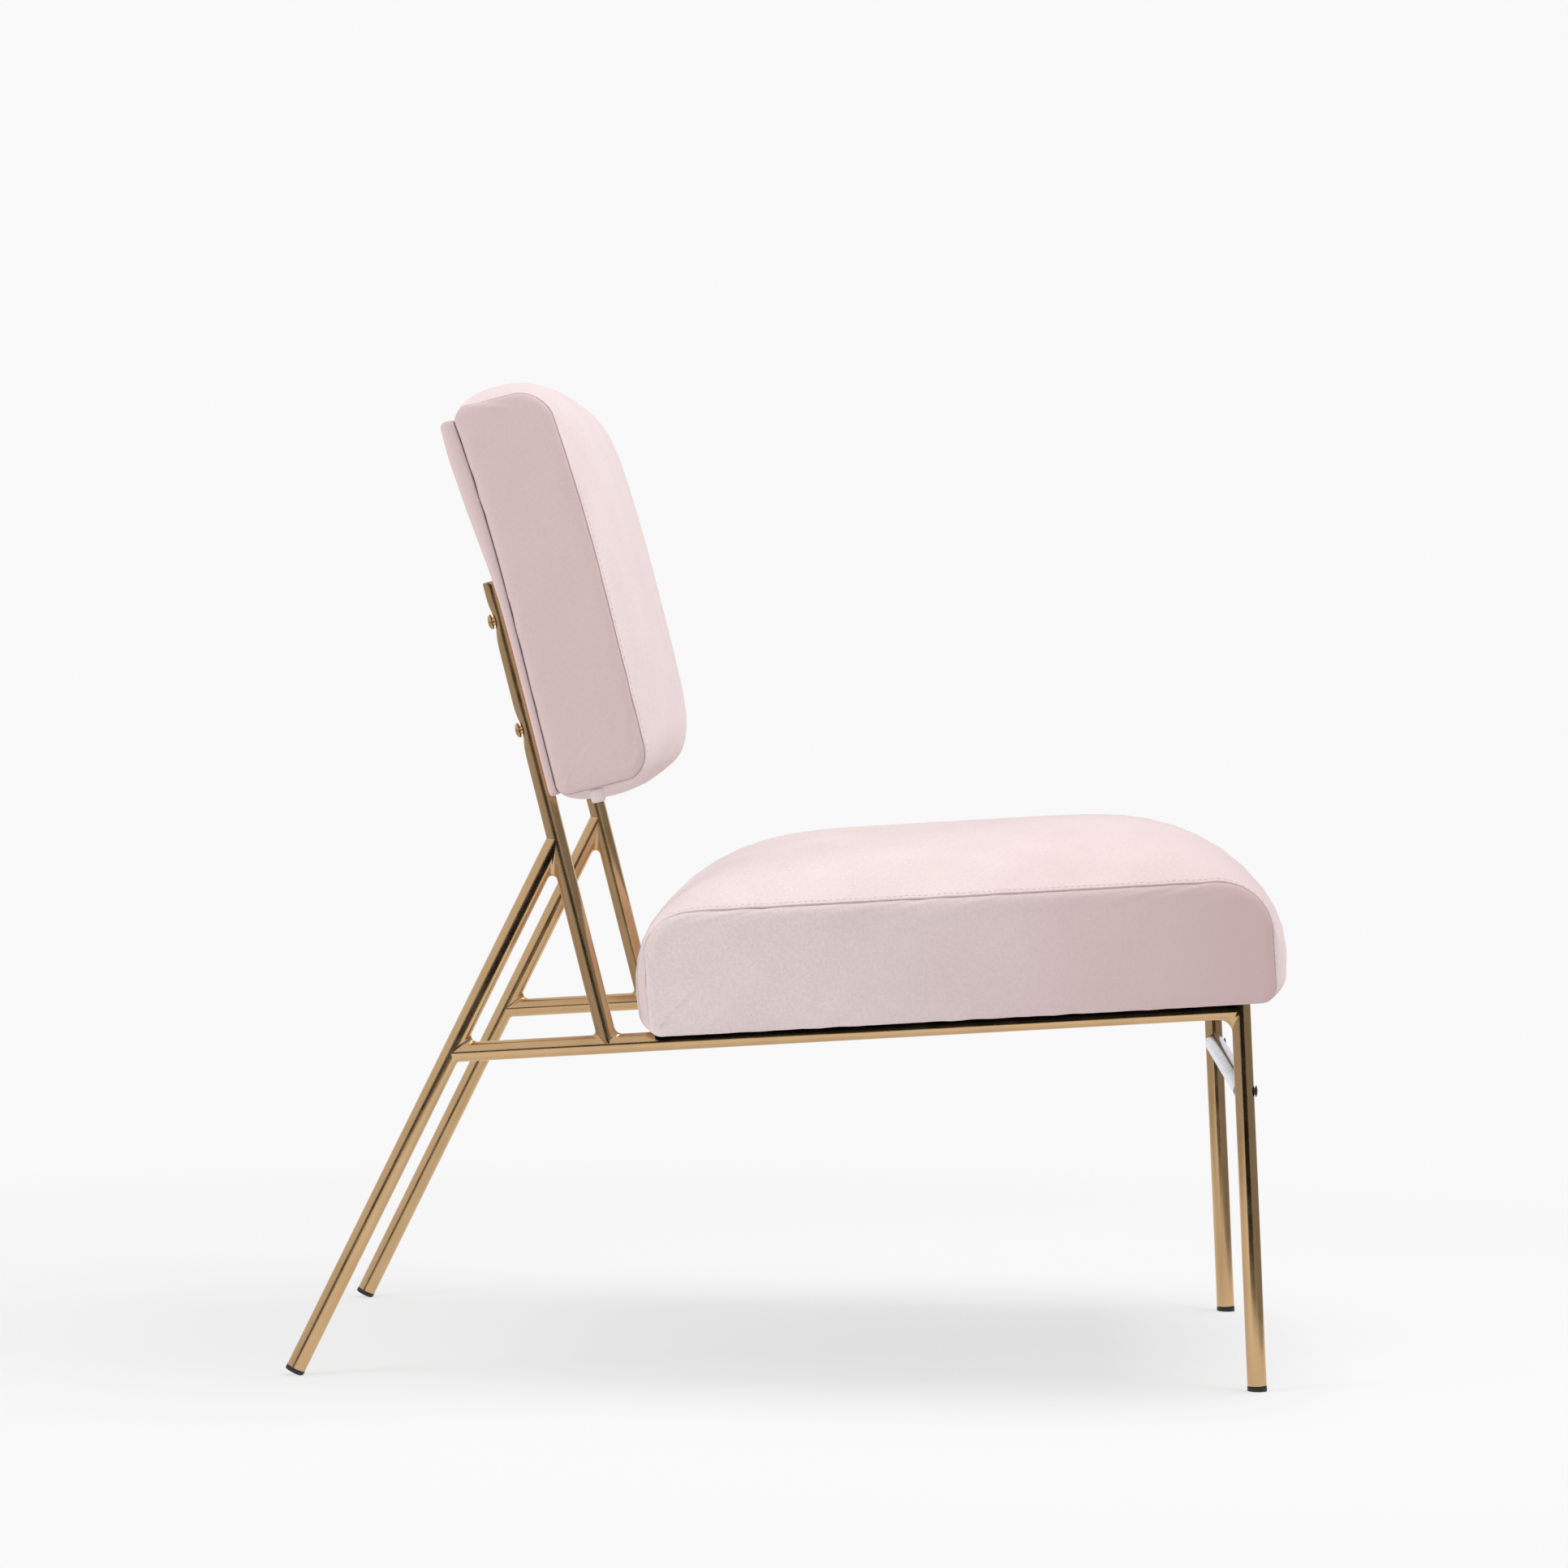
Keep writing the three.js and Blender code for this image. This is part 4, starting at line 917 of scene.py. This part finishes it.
def make_rear_panel():
    """The padded panel behind the backrest, pressed in where the uprights cross it."""
    low, high, half = PANEL
    rear, front = PANEL_DEPTH
    stations = np.concatenate([half - np.array([0, 0.3, 1, 2, 3.2, 4.6, 6]) * MM,
                               np.arange(half - 8 * MM, 0, -3 * MM)])
    stations = np.concatenate([stations, [0], -stations[::-1]])
    rows = []
    for x in stations:
        from_end = half - abs(x)
        roll = PANEL_ROLL * (1 - math.sqrt(1 - (1 - min(from_end / PANEL_ROLL, 1)) ** 2))
        box = np.array([low + 1.6 * roll, high - 0.4 * roll, rear + roll, front - 0.2 * roll])
        depth = box[3] - box[2]
        rear_corner, front_corner = [PANEL_EDGE, min(PANEL_EDGE, depth * 0.6)], [2 * MM, depth * 0.35]
        corners = np.array([rear_corner, rear_corner, front_corner, front_corner])
        pairs = outline(box, corners, (96, 3, 96, 3))
        up, forward = pairs[:, 0], pairs[:, 1].copy()
        behind = np.clip((front - forward) / (front - rear), 0, 1) ** 1.5
        edge = np.clip(np.minimum(up - low, high - up) / (38 * MM), 0, 1)
        plump = PANEL_PLUMP * np.sin(edge * math.pi / 2) ** 0.7 * min(from_end / (14 * MM), 1) ** 0.5
        gap = abs(abs(x) - FRAME_HALF_WIDTH)
        beside = 1.0 if abs(x) > FRAME_HALF_WIDTH else math.exp(-(gap / PRESS_REACH) ** 2)
        free = 1 / (1 + np.exp((UPRIGHT_LENGTH + 20 * MM - up) / PRESS_FADE))
        pressed = plump * (1 - beside * (1 - free)) - PANEL_PRESSED * beside * (1 - free)
        groove = np.clip(TUBE_RADIUS ** 2 - gap ** 2, 0, None) ** 0.5 + 0.15 * MM
        floor_of_groove = np.where((gap < TUBE_RADIUS) & (up < UPRIGHT_LENGTH + 1 * MM), groove, -1.0)
        forward = forward - behind * pressed
        forward = np.where(behind > 0.3, np.maximum(forward, floor_of_groove), forward)
        rows.append(back_places(x, up, forward))
    nodes = ["back_panel_pad", "back_panel_board"]
    piece = mesh_piece("rear_panel_pad", *skin(np.array(rows)), VELVET, nodes, "velvet")
    # The rear panel's tone is darkened as much as the backrest's end panels
    paint(piece, "tone_darkening", np.full(len(piece.data.vertices), BACK_PANEL_DARKENING))


def make_cover_tabs():
    """A folded tab of cover cloth in each end of the backrest's lower seam."""
    thickness, round_by = 1.5 * MM, 2.6 * MM
    low, width, height = COVER_TAB["low"], COVER_TAB["width"], COVER_TAB["height"]
    box = np.array([low, low + height, COVER_TAB["forward"] - width / 2, COVER_TAB["forward"] + width / 2])
    corners = np.array([[round_by, round_by], [0.3 * MM] * 2, [0.3 * MM] * 2, [round_by, round_by]])
    for side_name, side in SIDES.items():
        rows = []
        for share in np.linspace(0, 1, 7):
            inset = 0.5 * MM * (1 - math.sqrt(max(1 - (2 * share - 1) ** 2, 0)))
            pairs = outline(box + inset * np.array([1, -1, 1, -1]), np.maximum(corners - inset, 0.1 * MM),
                            (6, 6, 6, 6))
            bow = 1.2 * MM * np.cos((pairs[:, 1] - COVER_TAB["forward"]) / width * math.pi)
            x = side * (277 * MM + thickness * (share - 0.5) + bow)
            rows.append(back_places(x, pairs[:, 0], pairs[:, 1]))
        nodes = [f"{side_name}_cover_tab"]
        mesh_piece(f"{side_name}_tab_fold", *skin(np.array(rows)), VELVET, nodes, "velvet")


# ---------------------------------------------------------------- camera, floor and light

CAMERA_PLACE = (-4.3903, -0.1360, 0.6190)
CAMERA_YAW = 0.034895  # turned from +X towards +Y
CAMERA_DIP = 0.029803
CAMERA_ROLL = 0.011784
CAMERA_LENS = 115.54
BACKDROP_TONE = 0.947  # as the camera sees it
WORLD_LIGHT = 0.61
WORLD_REFLECTED = 0.8
FLOOR_REACH = 14
FLOOR_GAP = 0.2 * MM  # below the feet
FLOOR_FADE = (0.7, 1.7)  # distances from the chair between which the floor turns into backdrop
FLOOR_GLOW = 0.615
FLOOR_ALBEDO = 0.30
CARD_HEIGHT = 1 * MM  # of the cards lying on the floor
FLAG_HEIGHT = 2 * MM  # of the darker ones over them


def make_camera():
    data = bpy.data.cameras.new("camera")
    data.lens = CAMERA_LENS
    data.sensor_width = 36
    data.clip_end = 60
    camera = bpy.data.objects.new("camera", data)
    bpy.context.scene.collection.objects.link(camera)
    forward = Vector((math.cos(CAMERA_DIP) * math.cos(CAMERA_YAW),
                      math.cos(CAMERA_DIP) * math.sin(CAMERA_YAW), -math.sin(CAMERA_DIP)))
    camera.rotation_mode = "QUATERNION"
    camera.rotation_quaternion = forward.to_track_quat("-Z", "Y") @ Quaternion((0, 0, 1), CAMERA_ROLL)
    camera.location = CAMERA_PLACE
    bpy.context.scene.camera = camera


def make_floor():
    """A pale floor that takes soft shadows near the chair and fades into the backdrop."""
    mesh = bpy.data.meshes.new("floor")
    reach = FLOOR_REACH
    mesh.from_pydata([(-reach, -reach, 0), (reach, -reach, 0), (reach, reach, 0), (-reach, reach, 0)], [],
                     [(0, 1, 2, 3)])
    floor = bpy.data.objects.new("floor", mesh)
    floor.location.z = -FLOOR_GAP
    bpy.context.scene.collection.objects.link(floor)
    material = bpy.data.materials.new("pale_floor")
    material.use_nodes = True
    tree = material.node_tree
    tree.nodes.clear()
    place = tree.nodes.new("ShaderNodeTexCoord")
    length = tree.nodes.new("ShaderNodeVectorMath")
    length.operation = "LENGTH"
    tree.links.new(place.outputs["Object"], length.inputs[0])
    fade = tree.nodes.new("ShaderNodeMapRange")
    fade.interpolation_type = "SMOOTHSTEP"
    fade.inputs["From Min"].default_value = FLOOR_FADE[0]
    fade.inputs["From Max"].default_value = FLOOR_FADE[1]
    tree.links.new(length.outputs["Value"], fade.inputs["Value"])
    glow_near = tree.nodes.new("ShaderNodeEmission")
    glow_near.inputs["Strength"].default_value = FLOOR_GLOW
    diffuse = tree.nodes.new("ShaderNodeBsdfDiffuse")
    diffuse.inputs["Color"].default_value = (FLOOR_ALBEDO, FLOOR_ALBEDO, FLOOR_ALBEDO, 1)
    near = tree.nodes.new("ShaderNodeAddShader")
    far = tree.nodes.new("ShaderNodeEmission")
    far.inputs["Strength"].default_value = BACKDROP_TONE
    blend = tree.nodes.new("ShaderNodeMixShader")
    output = tree.nodes.new("ShaderNodeOutputMaterial")
    tree.links.new(glow_near.outputs[0], near.inputs[0])
    tree.links.new(diffuse.outputs[0], near.inputs[1])
    tree.links.new(fade.outputs["Result"], blend.inputs[0])
    tree.links.new(near.outputs[0], blend.inputs[1])
    tree.links.new(far.outputs[0], blend.inputs[2])
    tree.links.new(blend.outputs[0], output.inputs[0])
    mesh.materials.append(material)


def make_world():
    """An even pale backdrop, dimmer in the light it gives and in reflections than where it is seen."""
    world = bpy.data.worlds.new("studio")
    bpy.context.scene.world = world
    world.use_nodes = True
    tree = world.node_tree
    tree.nodes.clear()
    path = tree.nodes.new("ShaderNodeLightPath")
    output = tree.nodes.new("ShaderNodeOutputWorld")
    shader = None
    tones = ((WORLD_LIGHT, None), (WORLD_REFLECTED, "Is Glossy Ray"), (BACKDROP_TONE, "Is Camera Ray"))
    for tone, ray in tones:
        backdrop = tree.nodes.new("ShaderNodeBackground")
        backdrop.inputs["Color"].default_value = (1, 1, 1, 1)
        backdrop.inputs["Strength"].default_value = tone
        if ray is None:
            shader = backdrop
            continue
        blend = tree.nodes.new("ShaderNodeMixShader")
        tree.links.new(path.outputs[ray], blend.inputs[0])
        tree.links.new(shader.outputs[0], blend.inputs[1])
        tree.links.new(backdrop.outputs[0], blend.inputs[2])
        shader = blend
    tree.links.new(shader.outputs[0], output.inputs[0])


def add_softbox(name, place, aim, size, power, reflected=True):
    data = bpy.data.lights.new(name, "AREA")
    data.shape = "RECTANGLE"
    data.size, data.size_y = size
    data.energy = power
    light = bpy.data.objects.new(name, data)
    light.location = place
    light.rotation_mode = "QUATERNION"
    light.rotation_quaternion = (Vector(aim) - Vector(place)).to_track_quat("-Z", "Y")
    light.visible_camera = False
    light.visible_glossy = reflected
    bpy.context.scene.collection.objects.link(light)


def add_card(name, corners, tone):
    """A flat card that only reflections show, as bright as the tone."""
    mesh = bpy.data.meshes.new(name)
    mesh.from_pydata(corners, [], [(0, 1, 2, 3)])
    material, _, _ = new_material(f"{name}_card", Base_Color=(0, 0, 0, 1), Specular_IOR_Level=0.0,
                                  Emission_Color=(1, 1, 1, 1), Emission_Strength=tone)
    mesh.materials.append(material)
    card = bpy.data.objects.new(name, mesh)
    bpy.context.scene.collection.objects.link(card)
    card.visible_camera = False
    card.visible_diffuse = False
    card.visible_shadow = False


def floor_card(name, corners, height, tone):
    add_card(name, [(x, y, height) for x, y in corners], tone)


def standing_card(name, start, end, top, tone):
    """A card standing on the floor between two points."""
    corners = [(*start, FLAG_HEIGHT), (*end, FLAG_HEIGHT), (*end, top), (*start, top)]
    add_card(name, corners, tone)


def make_lights():
    """Softboxes, and the cards that give the polished tubes their dark and light bands."""
    add_softbox("overhead", (0, -0.7, 2.6), (0, 0, 0), (1.5, 1.5), 38)
    add_softbox("front_box", (-1.3, -2.6, 1.5), (0, 0, 0.5), (0.8, 2.4), 6, reflected=False)
    add_softbox("rear_box", (-1.6, 2.4, 1.1), (0, 0.1, 0.5), (0.8, 2.2), 27, reflected=False)
    floor_card("far_floor", [(-3.4, -2.3), (-3.4, 6.5), (-4.7, 6.5), (-4.7, -2.3)], FLAG_HEIGHT, 0)
    floor_card("near_floor", [(-0.75, -0.65), (-0.75, -0.08), (-3.4, 1.2), (-3.4, -1.9)], FLAG_HEIGHT, 0)
    floor_card("front_floor", [(-0.75, -0.65), (-4.7, -2.3), (4, -4.6), (1.5, -1.2)], CARD_HEIGHT, 0.27)
    floor_card("rear_floor", [(-3.4, 0.5), (4, 0.5), (4, 6.5), (-3.4, 6.5)], CARD_HEIGHT, 0.48)
    standing_card("camera_flag", (-4.7, -2.3), (-4.7, 6.5), 0.8, 0.01)
    standing_card("front_wall", (-4.7, -2.3), (4, -4.6), 2.6, 0.27)
    standing_card("rear_wall", (-4.7, 6.5), (4, 6.5), 1.5, 0.48)
    # Black cards under each side of the seat's overhang, seen only in reflections, paint a black reflection
    # of the shaded underside of the seat into the rails' upper halves
    across, forward = np.array([[302, 302, 250, 250], [300, 810, 810, 300]]) * MM
    for side_name, side in SIDES.items():
        corners = seat_places(side * across, forward, 5.5 * MM)
        add_card(f"{side_name}_underseat_flag", [tuple(corner) for corner in corners], 0)


def set_colour():
    bpy.context.scene.view_settings.view_transform = "Standard"


# ---------------------------------------------------------------- the chair

finish_cad_nodes()
make_side_frames()
make_spreader()
make_fasteners()
seat_piece = make_seat()
make_dust_cover()
make_back()
make_rear_panel()
make_cover_tabs()
make_camera()
make_floor()
make_world()
make_lights()
set_colour()
